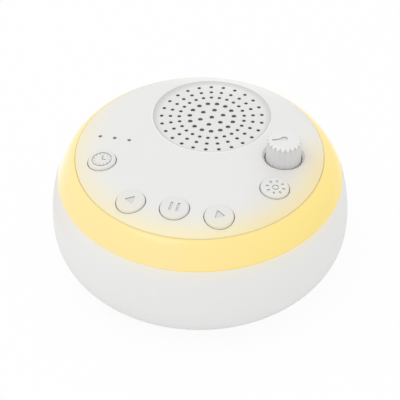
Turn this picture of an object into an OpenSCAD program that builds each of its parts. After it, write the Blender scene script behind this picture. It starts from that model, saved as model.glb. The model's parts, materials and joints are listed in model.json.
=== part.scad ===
// White noise sound machine: round table model with a glowing ring, five keys and a volume knob.
// Millimetres. The origin is the middle of the footprint on the table, -Y is the front, +Z is up.

/* [Body] */
// Largest diameter of the body
body_d = 114; // [108:1:122]
// How far the rubber feet hold the body off the table
feet_h = 1.8; // [1.4:0.1:2.6]
// Height of the widest line above the table
widest_z = 17.3; // [16:0.1:19]
// Height of the crown above the widest line
crown_h = 30.5; // [29:0.1:32]
// Radius where the rounded belly meets the flat base
base_r = 38; // [36:0.5:40]
// Sharpness of the shoulder, sideways
shoulder_n = 9.4; // [8.8:0.1:10]
// Sharpness of the shoulder, upwards
shoulder_m = 1.65; // [1.55:0.01:1.75]
// Sharpness of the belly curve
belly_n = 2.5; // [2.2:0.1:2.8]
// Wall of the lower housing
housing_wall = 2.2; // [1.8:0.1:2.4]
// Floor of the lower housing
floor_t = 2.4; // [2:0.1:3]

/* [Light ring] */
// Distance from the widest line inwards to the ring's lower edge
ring_inset = 3.75; // [3.2:0.05:4.2]
// Width of the ring's face, seen from above
ring_face_w = 7.3; // [6.5:0.05:8]
// Wall of the light ring
ring_wall = 2.2; // [2:0.1:2.6]
// Depth of the tongue that plugs into the lower housing
tongue_h = 2.4; // [1.6:0.1:2.8]
// Thickness of that tongue
tongue_t = 1.4; // [1:0.1:1.6]
// Thickness of the ledge under the top cover's edge
ledge_t = 1.2; // [1:0.1:1.6]

/* [Top cover] */
// Wall of the top cover
cover_wall = 2; // [1.8:0.1:2.3]
// Height of the top cover's outer edge
edge_t = 2.2; // [1.8:0.1:2.6]
// Open seam between top cover and light ring
seam = 0.25; // [0.15:0.05:0.4]
// Distance from the cover's edge inwards to the skirt under it
skirt_inset = 1.55; // [1.4:0.05:1.8]
// Thickness of the skirt
skirt_t = 1.4; // [1.2:0.1:1.6]
// Length of the skirt below the cover's edge
skirt_h = 3.5; // [3:0.1:4]

/* [Grille] */
// Distance from the cover's rear edge to the middle of grille and speaker
grille_inset = 26.75; // [26.3:0.05:27.4]
// Radius of the flat floor of the dish
dish_floor_r = 20.5; // [20.3:0.1:21]
// Radius of the dish at its rim
dish_rim_r = 22.6; // [22:0.1:23]
// How far the dish floor lies below the cover at its rear rim
dish_lip = 0.32; // [0.2:0.02:0.5]
// Thickness of the perforated floor
grille_t = 1.8; // [1.5:0.1:2]
// Diameter of the inner holes
hole_big_d = 1.95; // [1.6:0.05:2.2]
// Diameter of the outer holes
hole_small_d = 1.5; // [1.2:0.05:1.8]
// Radius of the first ring of holes
hole_ring_1 = 4.54; // [4.4:0.02:4.7]
// Radius of the second ring of holes
hole_ring_2 = 8.55; // [8.4:0.05:8.7]
// Radius of the third ring of holes
hole_ring_3 = 12.52; // [12.3:0.02:12.7]
// Radius of the fourth ring of holes
hole_ring_4 = 15.93; // [15.7:0.01:16.1]
// Radius of the fifth ring of holes
hole_ring_5 = 19.33; // [19.1:0.01:19.45]

/* [Keys] */
// Diameter of a key cap
key_d = 10.4; // [9.6:0.1:10.6]
// Gap around a key cap
key_gap = 0.28; // [0.25:0.01:0.35]
// How far a key stands above the cover
key_rise = 1.15; // [0.9:0.05:1.4]
// Width of the rounded edge of a key
key_round = 0.9; // [0.5:0.1:1]
// Stroke of a key
key_travel = 0.5; // [0.3:0.05:0.6]
// Depth of the engraved signs
sign_depth = 0.3; // [0.2:0.05:0.4]
// Distance from the cover's front edge to the row of three keys
row_inset = 11.35; // [11:0.05:12]
// Spacing of the keys in the row
row_pitch = 15.8; // [15.4:0.1:16]
// Sideways distance from the cover's edge to the timer key
timer_inset = 13.65; // [13.3:0.05:14]
// Distance of the timer key in front of the axis
timer_y = 16.6; // [16.2:0.1:16.8]
// Sideways distance from the cover's edge to the light key
light_inset = 14.45; // [14.1:0.05:14.8]
// Distance of the light key in front of the axis
light_y = 16.2; // [15.9:0.1:16.5]

/* [Indicators] */
// Diameter of the indicator holes
led_hole_d = 1.5; // [1.3:0.05:1.7]
// Sideways distance from the cover's edge to the middle indicator
led_inset = 14.15; // [13.9:0.05:14.5]
// Distance of the indicators in front of the axis
led_y = 3.1; // [2.8:0.1:3.4]
// Spacing of the indicators
led_pitch = 5.65; // [5.4:0.05:5.8]

/* [Volume knob] */
// Sideways distance from the cover's edge to the knob's axis
knob_inset = 14.75; // [14.5:0.05:15]
// Distance of the knob's axis behind the body's axis
knob_y = 1.7; // [1.5:0.1:1.9]
// Diameter of the knob at its foot
knob_foot_d = 13.2; // [12.6:0.1:13.6]
// Diameter of the knob at its top
knob_top_d = 12.2; // [11.6:0.1:12.4]
// Height of the knob
knob_h = 10.4; // [9.5:0.1:11.5]
// Number of V flutes round the knob's top edge
flutes = 20; // [16:1:24]
// Depth of a flute at the top
flute_depth = 0.8; // [0.6:0.05:0.85]
// Length of a flute down the side
flute_len = 1.8; // [1.5:0.1:2.4]
// Bevel of the knob's top edge
knob_bevel = 0.9; // [0.8:0.05:1.1]
// Turn of the pointer from sideways towards the front, with the knob in its middle position
pointer_turn = 23; // [15:1:30]
// Depth of the pointer in the knob's top
pointer_depth = 0.5; // [0.3:0.05:0.6]
// Diameter of the well around the knob
well_d = 15.6; // [15.2:0.1:16]
// Depth of the well below the cover
well_depth = 2.8; // [2.4:0.1:3]
// Gap between the knob's foot and the well below its countersink
knob_side_gap = 0.4; // [0.35:0.05:0.5]
// Turn of the knob to each side of its middle
knob_turn = 150; // [120:5:150]
// Diameter of the potentiometer shaft
shaft_d = 6; // [5:0.1:6.2]

/* [Boards] */
// Thickness of the circuit boards
board_t = 1.6; // [1.2:0.1:1.8]
// Depth of the control board's upper face below the cover's edge
control_drop = 9.3; // [9:0.1:9.8]
// Clearance between the control board and the cover's skirt
control_board_gap = 0.8; // [0.6:0.1:1.2]
// Clearance between the light board and the ring's tongue above it
light_board_drop = 2.2; // [2:0.1:2.8]
// Clearance between the light board and the housing's wall
light_board_gap = 1.8; // [1.5:0.1:2.2]
// Number of light diodes in the ring
ring_led_count = 16; // [8:8:16]
// Height of the power board's upper face
power_z = 8.1; // [7.6:0.1:8.6]

/* [Speaker] */
// Diameter of the speaker's frame
speaker_d = 45; // [44:0.5:45]
// Thickness of the gasket between speaker and grille
gasket_t = 1.8; // [1.5:0.1:2]
// Diameter of the magnet
magnet_d = 32; // [28:1:33]
// Thickness of the magnet
magnet_t = 7; // [6:0.5:8]
// Travel of the cone each way
cone_travel = 0.8; // [0.4:0.1:0.9]

/* [Fasteners and feet] */
// Distance from the cover's edge inwards to the housing posts
post_inset = 9.35; // [9.2:0.05:9.8]
// Angle of the front posts in front of the sideways axis
front_post_angle = 49; // [47:0.5:50]
// Angle of the rear posts behind the sideways axis
rear_post_angle = 35; // [34:0.5:36]
// Radius of a post
post_r = 4.4; // [4.2:0.1:4.6]
// Height of the posts' upper face
post_top_z = 26; // [24:0.5:27]
// Radius of the deep hole for the housing screw's head
screw_well_r = 3.1; // [2.9:0.1:3.2]
// Radius of a rubber foot
foot_r = 5.6; // [5:0.1:6]
// Depth of the recess that a foot sits in
foot_recess = 0.8; // [0.6:0.1:1]

/* [Power jack] */
// Height of the jack's axis above the table
jack_z = 13.2; // [12.8:0.1:13.6]
// Bore of the jack
jack_bore_d = 5.7; // [5.5:0.1:5.9]
// Diameter of the jack's nose
jack_nose_d = 8; // [7.6:0.1:8.4]
// Diameter of the centre contact
jack_pin_d = 2; // [1.6:0.1:2.5]

/* [Quality] */
// Points along each profile curve
curve_steps = 24; // [12:2:36]
// Facets that stand for a full circle
$fn = 96; // [48:8:144]

/* [Hidden] */

// Small overlap that makes a cut or a joined boss run through a face
over = 0.5;
// Clearance between parts that plug into each other
fit_gap = 0.2;
// Running clearance between the shaft and its bearing
run_gap = 0.06;
body_r = body_d / 2;

// Height of the upper shell at radius r, for a surface inset by d
function shell_z(r, d = 0) =
    widest_z + (crown_h - d) * pow(1 - pow(r / (body_r - d), shoulder_n), 1 / shoulder_m);
// Radius of the upper shell at height z, for a surface inset by d
function shell_r(z, d = 0) =
    (body_r - d) * pow(1 - pow((z - widest_z) / (crown_h - d), shoulder_m), 1 / shoulder_n);
// Points along the upper shell from radius a to radius b
function shell_by_r(a, b, d = 0) =
    [for (i = [0:curve_steps]) let (r = a + (b - a) * i / curve_steps) [r, shell_z(r, d)]];
// Points along the upper shell from height a down or up to height b
function shell_by_z(a, b, d = 0) =
    [for (i = [0:curve_steps]) let (z = a + (b - a) * i / curve_steps) [shell_r(z, d), z]];
// Points along the belly, from the widest line (t = 0) to the flat base (t = 90)
function belly(d, floor_z) = [for (i = [1:curve_steps]) let (t = 90 * i / curve_steps)
    [base_r + (body_r - d - base_r) * pow(cos(t), 2 / belly_n),
     widest_z - (widest_z - floor_z) * pow(sin(t), 2 / belly_n)]];
// Reversed list
function turned(v) = [for (i = [len(v) - 1:-1:0]) v[i]];

ring_foot_r = body_r - ring_inset;
cover_r = ring_foot_r - ring_face_w;
grille_y = cover_r - grille_inset;
row_y = cover_r - row_inset;
timer_x = cover_r - timer_inset;
light_x = cover_r - light_inset;
led_x = cover_r - led_inset;
knob_x = cover_r - knob_inset;
edge_z = shell_z(cover_r);
edge_under_z = edge_z - edge_t;
skirt_z = edge_under_z - skirt_h;
skirt_r = cover_r - skirt_inset;
skirt_in = skirt_r - skirt_t;
foot_z = shell_z(ring_foot_r);
rim_in = shell_r(foot_z, housing_wall);
tongue_out = rim_in - fit_gap;
tongue_in = tongue_out - tongue_t;
floor_z = feet_h + floor_t;
dish_z = shell_z(grille_y + dish_rim_r) - dish_lip;
grille_under_z = dish_z - grille_t;
crown_z = widest_z + crown_h;

control_z = edge_z - control_drop;
control_r = skirt_in - control_board_gap;
control_under_z = control_z - board_t;

key_r = key_d / 2;
key_hole_r = key_r + key_gap;
guide_r = key_hole_r + 0.9;
flange_r = key_r + 0.75;
flange_t = 0.8;
guide_z = control_z + 6.1;
flange_top_z = guide_z - 0.1;
switch_w = 4.5;
switch_h = 3.8;
plunger_r = 1.5;
plunger_gap = 0.15;
plunger_z = control_z + switch_h + 1.2;
switch_bore = 3.2;

// Places of the five keys, in the order of their nodes
timer_at = [-timer_x, -timer_y];
previous_at = [-row_pitch, -row_y];
play_at = [0, -row_y];
next_at = [row_pitch, -row_y];
light_at = [light_x, -light_y];
KEYS = [timer_at, previous_at, play_at, next_at, light_at];
INDICATORS = [for (i = [-1:1]) [-led_x + i * led_pitch, -led_y]];

// Housing posts, which line up with the cover's long bosses, the screws and the feet
POSTS = [for (a = [-front_post_angle, 180 + front_post_angle, rear_post_angle, 180 - rear_post_angle])
    (cover_r - post_inset) * [cos(a), sin(a)]];
boss_r = 3;
boss_pilot_r = 1.2;
land_t = 2;
housing_screw_r = 1.1;
housing_screw_len = 12;
screw_hole_r = 1.5;
screw_head_r = 2.6;
screw_head_t = 1.8;
post_root_r = 6.4;

// Screws that hold the control board under the cover
board_boss_r = 2.4;
board_screw_r = 0.75;
board_pilot_r = 0.8;
board_hole_r = 1.1;
board_head_r = 1.9;
board_head_t = 1.3;
board_screw_len = 6;
BOARD_BOSSES = [[-20.5, -9], [20.5, -9], [-row_pitch / 2, -row_y - 4.9], [row_pitch / 2, -row_y - 4.9]];

// Speaker: heights from the grille down
speaker_r = speaker_d / 2;
surround_t = 0.4;
gasket_z = grille_under_z - gasket_t;
flange_z = gasket_z - surround_t;
frame_t = 1;
frame_under_z = flange_z - frame_t;
basket_t = 0.8;
basket_neck_r = 13.4;
spider_seat_z = flange_z - 7;
basket_floor_z = spider_seat_z - 3.2;
top_plate_t = 2;
top_plate_z = basket_floor_z - top_plate_t;
magnet_z = top_plate_z - magnet_t;
yoke_t = 2.2;
plate_r = magnet_d / 2 - 1;
pole_r = 6.3;
coil_in = 6.6;
coil_out = 6.95;
plate_hole_r = 7.3;
magnet_hole_r = 9;
cone_neck_z = spider_seat_z + 1;
cone_rim_r = 17.2;
cone_rim_z = flange_z;
retainer_in = 20.9;
retainer_out = speaker_r + 0.7;
retainer_t = 1.4;
ear_ring_r = 26.3;
ear_r = 2.6;
ear_neck = 4;
EAR_ANGLES = [-90, 30, 150];
EARS = [for (a = EAR_ANGLES) [ear_ring_r * cos(a), grille_y + ear_ring_r * sin(a)]];
locating_in = speaker_r + 0.3;
locating_out = locating_in + 1.2;
ear_screw_len = 5;

// Volume control
rim_at_knob_z = shell_z(norm([knob_x, knob_y]));
well_z = rim_at_knob_z - well_depth;
well_r = well_d / 2;
well_in_r = knob_foot_d / 2 + knob_side_gap;
well_floor_t = 1.5;
knob_gap = 0.4;
knob_z = well_z + knob_gap;
knob_top_z = knob_z + knob_h;
knob_cap_t = 2;
knob_skin = 1.4;
hub_r = shaft_d / 2 + 1.6;
shaft_r = shaft_d / 2;
shaft_flat = shaft_r - 1.5;
shaft_top_z = knob_top_z - knob_cap_t - fit_gap;
pot_w = 9.8;
pot_l = 11;
pot_top_z = well_z - well_floor_t - 0.9;
shaft_foot_z = control_z + 1;

// Light board and reflector
light_board_top = foot_z - tongue_h - light_board_drop;
light_seat_z = light_board_top - board_t;
light_board_in = skirt_in;
light_board_out = shell_r(light_board_top, housing_wall) - light_board_gap;
gusset_t = 3;
gusset_in = light_board_in + 1;
GUSSET_ANGLES = [135:45:405];
LIGHT_SCREW_ANGLES = [45:90:315];
light_screw_ring = light_board_out - 2.4;
light_boss_r = 2.3;
light_screw_len = 5;
ring_led_r = light_board_out - 3;
ring_led_w = 3.5;
ring_led_d = 2.8;
ring_led_t = 1;
reflector_t = 1.2;
reflector_foot_r = ring_led_r - ring_led_d / 2 - 0.6;
reflector_foot_t = 0.8;

// Power board and jack
jack_face_y = sqrt(pow(shell_r_low(jack_z), 2) - pow(jack_nose_d / 2 + 1.2, 2)) - 0.5;
jack_len = 16;
jack_body_w = 9;
jack_body_front_y = sqrt(pow(wall_r_low(power_z), 2) - pow(jack_body_w / 2, 2)) - fit_gap;
jack_body_back_y = jack_face_y - jack_len;
jack_bore_len = 11;
jack_pin_back = 1;
power_board_w = 22;
power_board_y0 = jack_body_back_y - 7;
power_board_y1 = sqrt(pow(wall_r_low(power_z - board_t), 2) - pow(power_board_w / 2, 2)) - fit_gap;
STANDOFFS = [[-power_board_w / 2 + 3, power_board_y0 + 3], [power_board_w / 2 - 3, power_board_y0 + 3]];
standoff_r = 2.5;

// Radius of the belly's outside at height z
function shell_r_low(z) = base_r + (body_r - base_r)
    * pow(1 - pow((widest_z - z) / (widest_z - feet_h), belly_n), 1 / belly_n);
// Radius of the belly's inside at height z
function wall_r_low(z) = base_r + (body_r - housing_wall - base_r)
    * pow(1 - pow((widest_z - z) / (widest_z - floor_z), belly_n), 1 / belly_n);

// ---- shared shapes ----

// Solid bounded by the upper shell, raised by lift and cut off below z_low
module under_shell(lift, z_low, r_max) {
    rotate_extrude()
        polygon(concat([[0, z_low]], [[r_max, z_low]],
            [for (p = turned(shell_by_r(0, r_max))) [p[0], p[1] + lift]]));
}

module at(p, z = 0) {
    translate([p[0], p[1], z]) children();
}

// Cylinder between two heights
module rod(r, z0, z1) {
    translate([0, 0, z0]) cylinder(r = r, h = z1 - z0);
}

// Tube between two heights
module tube(r_in, r_out, z0, z1) {
    difference() {
        rod(r_out, z0, z1);
        rod(r_in, z0 - over, z1 + over);
    }
}

// Pan-head screw, head down, with its shank rising from z
module screw_up(head_r, head_t, shank_r, len, z) {
    difference() {
        union() {
            rod(head_r, z - head_t, z);
            rod(shank_r, z - head_t / 2, z + len);
        }
        cross_recess(shank_r, z - head_t - over, head_t * 0.55 + over);
    }
}

// Pan-head screw, head up, with its shank going down from z
module screw_down(head_r, head_t, shank_r, len, z) {
    difference() {
        union() {
            rod(head_r, z, z + head_t);
            rod(shank_r, z - len, z + head_t / 2);
        }
        cross_recess(shank_r, z + head_t * 0.45, head_t + over);
    }
}

// Cross-shaped driver recess
module cross_recess(r, z, h) {
    slot_w = r * 0.5;
    translate([-r, -slot_w / 2, z]) cube([2 * r, slot_w, h]);
    translate([-slot_w / 2, -r, z]) cube([slot_w, 2 * r, h]);
}

// Point between p1 and p2 at share t, on a smooth curve that also heeds their neighbours
function between(p0, p1, p2, p3, t) = p1 + 0.5 * t * (p2 - p0
    + t * (2 * p0 - 5 * p1 + 4 * p2 - p3 + t * (3 * (p1 - p2) + p3 - p0)));
// Smooth path through a route's points
function smooth_path(route, n) = [for (i = [0:len(route) - 2], k = [0:n - 1])
    between(route[max(i - 1, 0)], route[i], route[i + 1], route[min(i + 2, len(route) - 1)], k / n),
    route[len(route) - 1]];

// Insulated wire along a route; side is a direction that the route never runs along
module wire(route, r, side) {
    sides = 8;
    path = smooth_path(route, 4);
    last = len(path) - 1;
    rings = [for (i = [0:last]) let (
        run = path[min(i + 1, last)] - path[max(i - 1, 0)],
        u = cross(run, side) / norm(cross(run, side)),
        v = cross(u, run) / norm(cross(u, run)))
        for (k = [0:sides - 1]) path[i] + r * (cos(360 * k / sides) * u + sin(360 * k / sides) * v)];
    polyhedron(rings, concat(
        [[for (k = [0:sides - 1]) k]], [[for (k = [sides - 1:-1:0]) last * sides + k]],
        [for (i = [0:last - 1], k = [0:sides - 1]) let (n = (k + 1) % sides)
            [i * sides + k, (i + 1) * sides + k, (i + 1) * sides + n]],
        [for (i = [0:last - 1], k = [0:sides - 1]) let (n = (k + 1) % sides)
            [i * sides + k, (i + 1) * sides + n, i * sides + n]]));
}

// ---- casing ----

module housing_outline() {
    polygon(concat(shell_by_z(foot_z, widest_z), belly(0, feet_h), [[0, feet_h]], [[0, foot_z]]));
}

module housing_shell() {
    rotate_extrude() polygon(concat(
        shell_by_z(foot_z, widest_z), belly(0, feet_h), [[0, feet_h]], [[0, floor_z]],
        turned(belly(housing_wall, floor_z)), turned(shell_by_z(foot_z, widest_z, housing_wall))));
}

// Gusset on the inner wall that carries the light board
module gusset() {
    reach = body_r - housing_wall / 2;
    rotate([90, 0, 0]) translate([0, 0, -gusset_t / 2]) linear_extrude(gusset_t)
        polygon([[reach, light_seat_z - 16], [reach, light_seat_z], [gusset_in, light_seat_z],
            [gusset_in, light_seat_z - 4]]);
}

module lower_housing() {
    color("whitesmoke") difference() {
        union() {
            housing_shell();
            intersection() {
                rotate_extrude() housing_outline();
                union() {
                    for (a = GUSSET_ANGLES) rotate(a) gusset();
                    for (a = LIGHT_SCREW_ANGLES) rotate(a) translate([light_screw_ring, 0, 0])
                        rod(light_boss_r, light_seat_z - 9, light_seat_z);
                }
            }
            for (p = POSTS) at(p) {
                rod(post_r, floor_z - over, post_top_z);
                rod(post_root_r, floor_z - over, floor_z + 2);
            }
            for (p = STANDOFFS) at(p) rod(standoff_r, floor_z - over, power_z - board_t);
            jack_collar();
        }
        for (p = POSTS) at(p) {
            rod(foot_r + fit_gap / 2, feet_h - over, feet_h + foot_recess);
            rod(screw_well_r, feet_h, post_top_z - land_t);
            rod(screw_hole_r, feet_h, post_top_z + over);
        }
        for (p = STANDOFFS) at(p) rod(board_pilot_r, floor_z + 0.6, power_z);
        for (a = LIGHT_SCREW_ANGLES) rotate(a) translate([light_screw_ring, 0, 0])
            rod(board_pilot_r, light_seat_z - light_screw_len - 1, light_seat_z + over);
        jack_opening();
    }
}

// Thickened pad inside the rear wall around the jack
module jack_collar() {
    intersection() {
        rotate_extrude() housing_outline();
        translate([0, jack_face_y - 3.4, jack_z]) rotate([-90, 0, 0])
            cylinder(r = jack_nose_d / 2 + 2.4, h = 20);
    }
}

// Flat-bottomed recess and hole for the jack's nose
module jack_opening() {
    translate([0, jack_face_y, jack_z]) rotate([-90, 0, 0])
        cylinder(r = jack_nose_d / 2 + 1.2, h = 20);
    translate([0, jack_face_y - 10, jack_z]) rotate([-90, 0, 0])
        cylinder(r = jack_nose_d / 2 + fit_gap / 2, h = 20);
}

module light_ring() {
    top_r = cover_r + seam;
    ledge_under_z = edge_under_z - ledge_t;
    color("khaki") rotate_extrude() polygon(concat(
        shell_by_r(top_r, ring_foot_r),
        [[tongue_out, foot_z], [tongue_out, foot_z - tongue_h], [tongue_in, foot_z - tongue_h]],
        shell_by_r(tongue_in, shell_r(ledge_under_z, ring_wall), ring_wall),
        [[skirt_r + fit_gap, ledge_under_z], [skirt_r + fit_gap, edge_under_z], [top_r, edge_under_z]]));
}

// Solid that fills the cover's outside, used to trim bosses to its underside
module cover_bulk() {
    under_shell(-cover_wall / 2, post_top_z, (skirt_in + skirt_r) / 2);
}

module cover_shell() {
    rotate_extrude() polygon(concat(
        shell_by_r(0, cover_r),
        [[cover_r, edge_under_z], [skirt_r, edge_under_z], [skirt_r, skirt_z], [skirt_in, skirt_z]],
        shell_by_r(skirt_in, 0, cover_wall)));
}

// Dish: flat floor with a wall that grows steeper up to the rim
module dish_cut() {
    wall_h = crown_z - dish_z;
    steps = 8;
    at([0, grille_y]) rotate_extrude() polygon(concat(
        [[0, dish_z]],
        [for (i = [0:steps]) let (t = i / steps)
            [dish_floor_r + (dish_rim_r - dish_floor_r) * t, dish_z + wall_h * pow(t, 1.7)]],
        [[dish_rim_r, crown_z + over], [0, crown_z + over]]));
}

// One ring of grille holes, the first of them at the rear
module hole_ring(count, ring_r, d) {
    for (i = [0:count - 1]) rotate(90 + 360 * i / count) translate([ring_r, 0, 0])
        rod(d / 2, grille_under_z - over, crown_z, $fn = 24);
}

module grille_holes() {
    at([0, grille_y]) {
        rod(hole_big_d / 2, grille_under_z - over, crown_z, $fn = 24);
        hole_ring(6, hole_ring_1, hole_big_d);
        hole_ring(15, hole_ring_2, hole_big_d);
        hole_ring(25, hole_ring_3, hole_small_d);
        hole_ring(25, hole_ring_4, hole_small_d);
        hole_ring(25, hole_ring_5, hole_small_d);
    }
}

// Countersink at the mouth of the knob's well, tilted with the cover
module well_mouth() {
    inner_z = shell_z(knob_x - well_r);
    outer_z = shell_z(knob_x + well_r);
    mouth_z = (inner_z + 2 * rim_at_knob_z + outer_z) / 4;
    translate([0, 0, mouth_z]) rotate([0, atan((inner_z - outer_z) / well_d), 0]) rotate_extrude()
        polygon([[0, well_in_r - well_r - 0.5], [well_in_r - 0.5, well_in_r - well_r - 0.5],
            [well_r + 1, 1], [well_r + 1, 2], [0, 2]]);
}

module top_cover() {
    color("whitesmoke") difference() {
        union() {
            cover_shell();
            intersection() {
                cover_bulk();
                union() {
                    for (p = POSTS) at(p) rod(boss_r, post_top_z, crown_z);
                    for (p = BOARD_BOSSES) at(p) rod(board_boss_r, control_z, crown_z);
                    for (p = EARS) at(p) rod(ear_r, frame_under_z, crown_z);
                    for (p = KEYS) at(p) rod(guide_r, guide_z, crown_z);
                    for (p = INDICATORS) at(p) rod(2, shell_z(led_x) - 5, crown_z);
                    at([knob_x, knob_y]) rod(well_r + 1.2, well_z - well_floor_t, crown_z);
                    at([0, grille_y]) tube(locating_in, locating_out, frame_under_z + fit_gap, crown_z);
                    at([0, grille_y]) rod(locating_out, grille_under_z, crown_z);
                }
            }
        }
        dish_cut();
        grille_holes();
        at([0, grille_y]) rod(locating_in, skirt_z, grille_under_z);
        for (p = KEYS) at(p) rod(key_hole_r, guide_z - key_travel, crown_z + over);
        for (p = INDICATORS) at(p) {
            rod(led_hole_d / 2, control_z, crown_z + over, $fn = 24);
            rod(1.3, control_z, shell_z(led_x) - 2.2);
        }
        at([knob_x, knob_y]) {
            rod(well_in_r, well_z, crown_z + over);
            well_mouth();
            rod(shaft_r + 0.5, well_z - well_floor_t - over, well_z + over);
        }
        for (p = POSTS) at(p) rod(boss_pilot_r, post_top_z - over, post_top_z + housing_screw_len);
        for (p = BOARD_BOSSES) at(p) rod(board_pilot_r, control_z - over, control_z + board_screw_len - 1);
        for (p = EARS) at(p) rod(board_pilot_r, frame_under_z - over, frame_under_z + ear_screw_len - 1);
    }
}

// ---- volume control ----

// V-shaped groove that is deepest at the knob's top edge and runs out down the side
module flute() {
    half_w = PI * knob_top_d / flutes * 0.6;
    lean = atan(flute_depth / flute_len);
    translate([knob_top_d / 2 - flute_depth, 0, knob_top_z]) rotate([0, -lean, 0])
        translate([0, 0, -flute_len - 1]) linear_extrude(flute_len + 3)
            polygon([[0, 0], [flute_depth * 2, -half_w * 2], [flute_depth * 2, half_w * 2]]);
}

// Drop-shaped pointer, its thin end near the rim
module pointer_outline() {
    bulb_r = 1.25;
    neck_x = -2;
    tip_x = -4.25;
    tip_r = 0.38;
    flank = [[bulb_r * cos(115), bulb_r * sin(115)], [neck_x, tip_r], [tip_x, tip_r]];
    circle(r = bulb_r);
    polygon(concat(flank, [for (p = turned(flank)) [p[0], -p[1]]]));
    translate([tip_x, 0]) circle(r = tip_r, $fn = 24);
}

module volume_knob() {
    color("white") at([knob_x, knob_y]) difference() {
        translate([0, 0, knob_z]) rotate_extrude() polygon([[0, 0], [knob_foot_d / 2 - 0.3, 0],
            [knob_foot_d / 2, 0.3], [knob_top_d / 2, knob_h - knob_bevel],
            [knob_top_d / 2 - knob_bevel, knob_h], [0, knob_h]]);
        for (i = [0:flutes - 1]) rotate(180 + pointer_turn + 360 * (i + 0.5) / flutes) flute();
        difference() {
            rod(knob_top_d / 2 - knob_skin, knob_z - over, knob_top_z - knob_cap_t - 1);
            rod(hub_r, knob_z - over, knob_top_z);
        }
        shaft_bore();
        translate([0, 0, knob_top_z - pointer_depth]) linear_extrude(1)
            rotate(pointer_turn) pointer_outline();
    }
}

// D-shaped bore in the knob's hub
module shaft_bore() {
    intersection() {
        rod(shaft_r + run_gap, knob_z - over, knob_top_z - knob_cap_t);
        translate([-10, -10, knob_z - over]) cube([10 + shaft_flat + run_gap, 20, knob_h]);
    }
}

module volume_shaft() {
    flat_from_z = well_z + 0.2;
    color("silver") at([knob_x, knob_y]) difference() {
        rod(shaft_r, shaft_foot_z, shaft_top_z);
        translate([shaft_flat, -10, flat_from_z]) cube([10, 20, 40]);
    }
}

module volume_potentiometer() {
    color("dimgray") at([knob_x, knob_y]) difference() {
        union() {
            translate([-pot_w / 2, -pot_l / 2, control_z]) cube([pot_w, pot_l, pot_top_z - control_z]);
            rod(shaft_r + 0.45, pot_top_z - over, pot_top_z + 0.7);
        }
        rod(shaft_r + run_gap, shaft_foot_z, pot_top_z + 1);
    }
}

// ---- keys ----

// Cap that follows the cover's curve, with a rounded edge, a retaining flange and a stem
module key(p, sign) {
    r_p = norm(p);
    lean = atan((shell_z(r_p - 1) - shell_z(r_p + 1)) / 2);
    top_z = shell_z(r_p) + key_rise;
    skirt_in_r = key_r - 1.1;
    difference() {
        intersection() {
            at(p) union() {
                rod(key_r, flange_top_z - flange_t, crown_z + key_rise + 1);
                rod(flange_r, flange_top_z - flange_t, flange_top_z);
            }
            under_shell(key_rise, control_z, cover_r);
            at(p, top_z) rotate([0, 0, atan2(p[1], p[0])]) rotate([0, lean, 0]) crown();
        }
        difference() {
            rod(body_r, flange_top_z - flange_t - over, guide_z + fit_gap);
            rod(skirt_in - fit_gap * 2, 0, crown_z);
        }
        at(p) difference() {
            rod(skirt_in_r, flange_top_z - flange_t - over, top_z - key_rise - 1.6);
            rod(plunger_r + 0.3, control_z, top_z);
        }
        difference() {
            at(p) linear_extrude(crown_z + 5) sign_of(sign);
            under_shell(key_rise - sign_depth, control_z - 10, cover_r);
        }
    }
    at(p) rod(plunger_r + 0.3, plunger_z, top_z - key_rise - 1.6);
}

// Round crown that trims the cap's edge to a soft radius
module crown() {
    deep = 12;
    steps = 6;
    lift = 0.3;
    rotate_extrude() polygon(concat(
        [[0, -deep], [key_r * 1.6, -deep], [key_r * 1.6, -key_round * 1.4]],
        [for (i = [0:steps]) let (t = 90 * i / steps)
            [key_r - key_round + (key_round + 0.15) * cos(t), lift - key_round * (1 - sin(t))]],
        [[0, lift]]));
}

module sign_of(name) {
    if (name == "next") play_triangle();
    if (name == "previous") rotate(180) play_triangle();
    if (name == "pause") for (x = [-1.25, 1.25]) translate([x - 0.5, -2]) square([1, 4]);
    if (name == "clock") clock_sign();
    if (name == "lamp") lamp_sign();
}

module play_triangle() {
    side = 3.6;
    circle(r = side / sqrt(3), $fn = 3);
}

module clock_sign() {
    face_r = 3.5;
    line = 0.35;
    difference() {
        circle(r = face_r + line / 2);
        circle(r = face_r - line / 2);
    }
    for (a = [0:30:330]) rotate(a) translate([face_r - 0.85, -0.12]) square([0.4, 0.24]);
    translate([-line / 2, -line / 2]) square([line, 2.3]);
    translate([-line / 2, -line / 2]) square([1.7, line]);
}

module lamp_sign() {
    difference() {
        circle(r = 1.05, $fn = 48);
        circle(r = 0.75, $fn = 48);
    }
    for (a = [0:45:315]) rotate(a) translate([2.35, -0.28]) square([0.95, 0.56]);
}

module timer_button() { color("white") key(timer_at, "clock"); }
module previous_button() { color("white") key(previous_at, "previous"); }
module play_pause_button() { color("white") key(play_at, "pause"); }
module next_button() { color("white") key(next_at, "next"); }
module light_button() { color("white") key(light_at, "lamp"); }

// Switch plunger under a key; it slides in the switch body
module plunger(p) {
    foot_z = control_z + switch_h - switch_bore + key_travel + 0.3;
    color("black") at(p) rod(plunger_r, foot_z, plunger_z, $fn = 32);
}

module switch_bodies() {
    color("darkslategray") for (p = KEYS) at(p) difference() {
        translate([-switch_w / 2, -switch_w / 2, control_z]) cube([switch_w, switch_w, switch_h]);
        rod(plunger_r + plunger_gap, control_z + switch_h - switch_bore, control_z + switch_h + over,
            $fn = 32);
    }
}

// ---- control board ----

module indicator_light_pipes() {
    tip_z = shell_z(led_x) - 1.3;
    shoulder_z = shell_z(led_x) - 2.3;
    color("lightgray") for (p = INDICATORS) at(p) {
        rod(led_hole_d / 2 - 0.06, shoulder_z - over, tip_z, $fn = 24);
        rod(1.2, control_z + 0.8, shoulder_z);
    }
}

module indicator_leds() {
    color("lightyellow") for (p = INDICATORS) at(p, control_z)
        translate([-0.8, -0.4, 0]) cube([1.6, 0.8, 0.8]);
}

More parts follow.
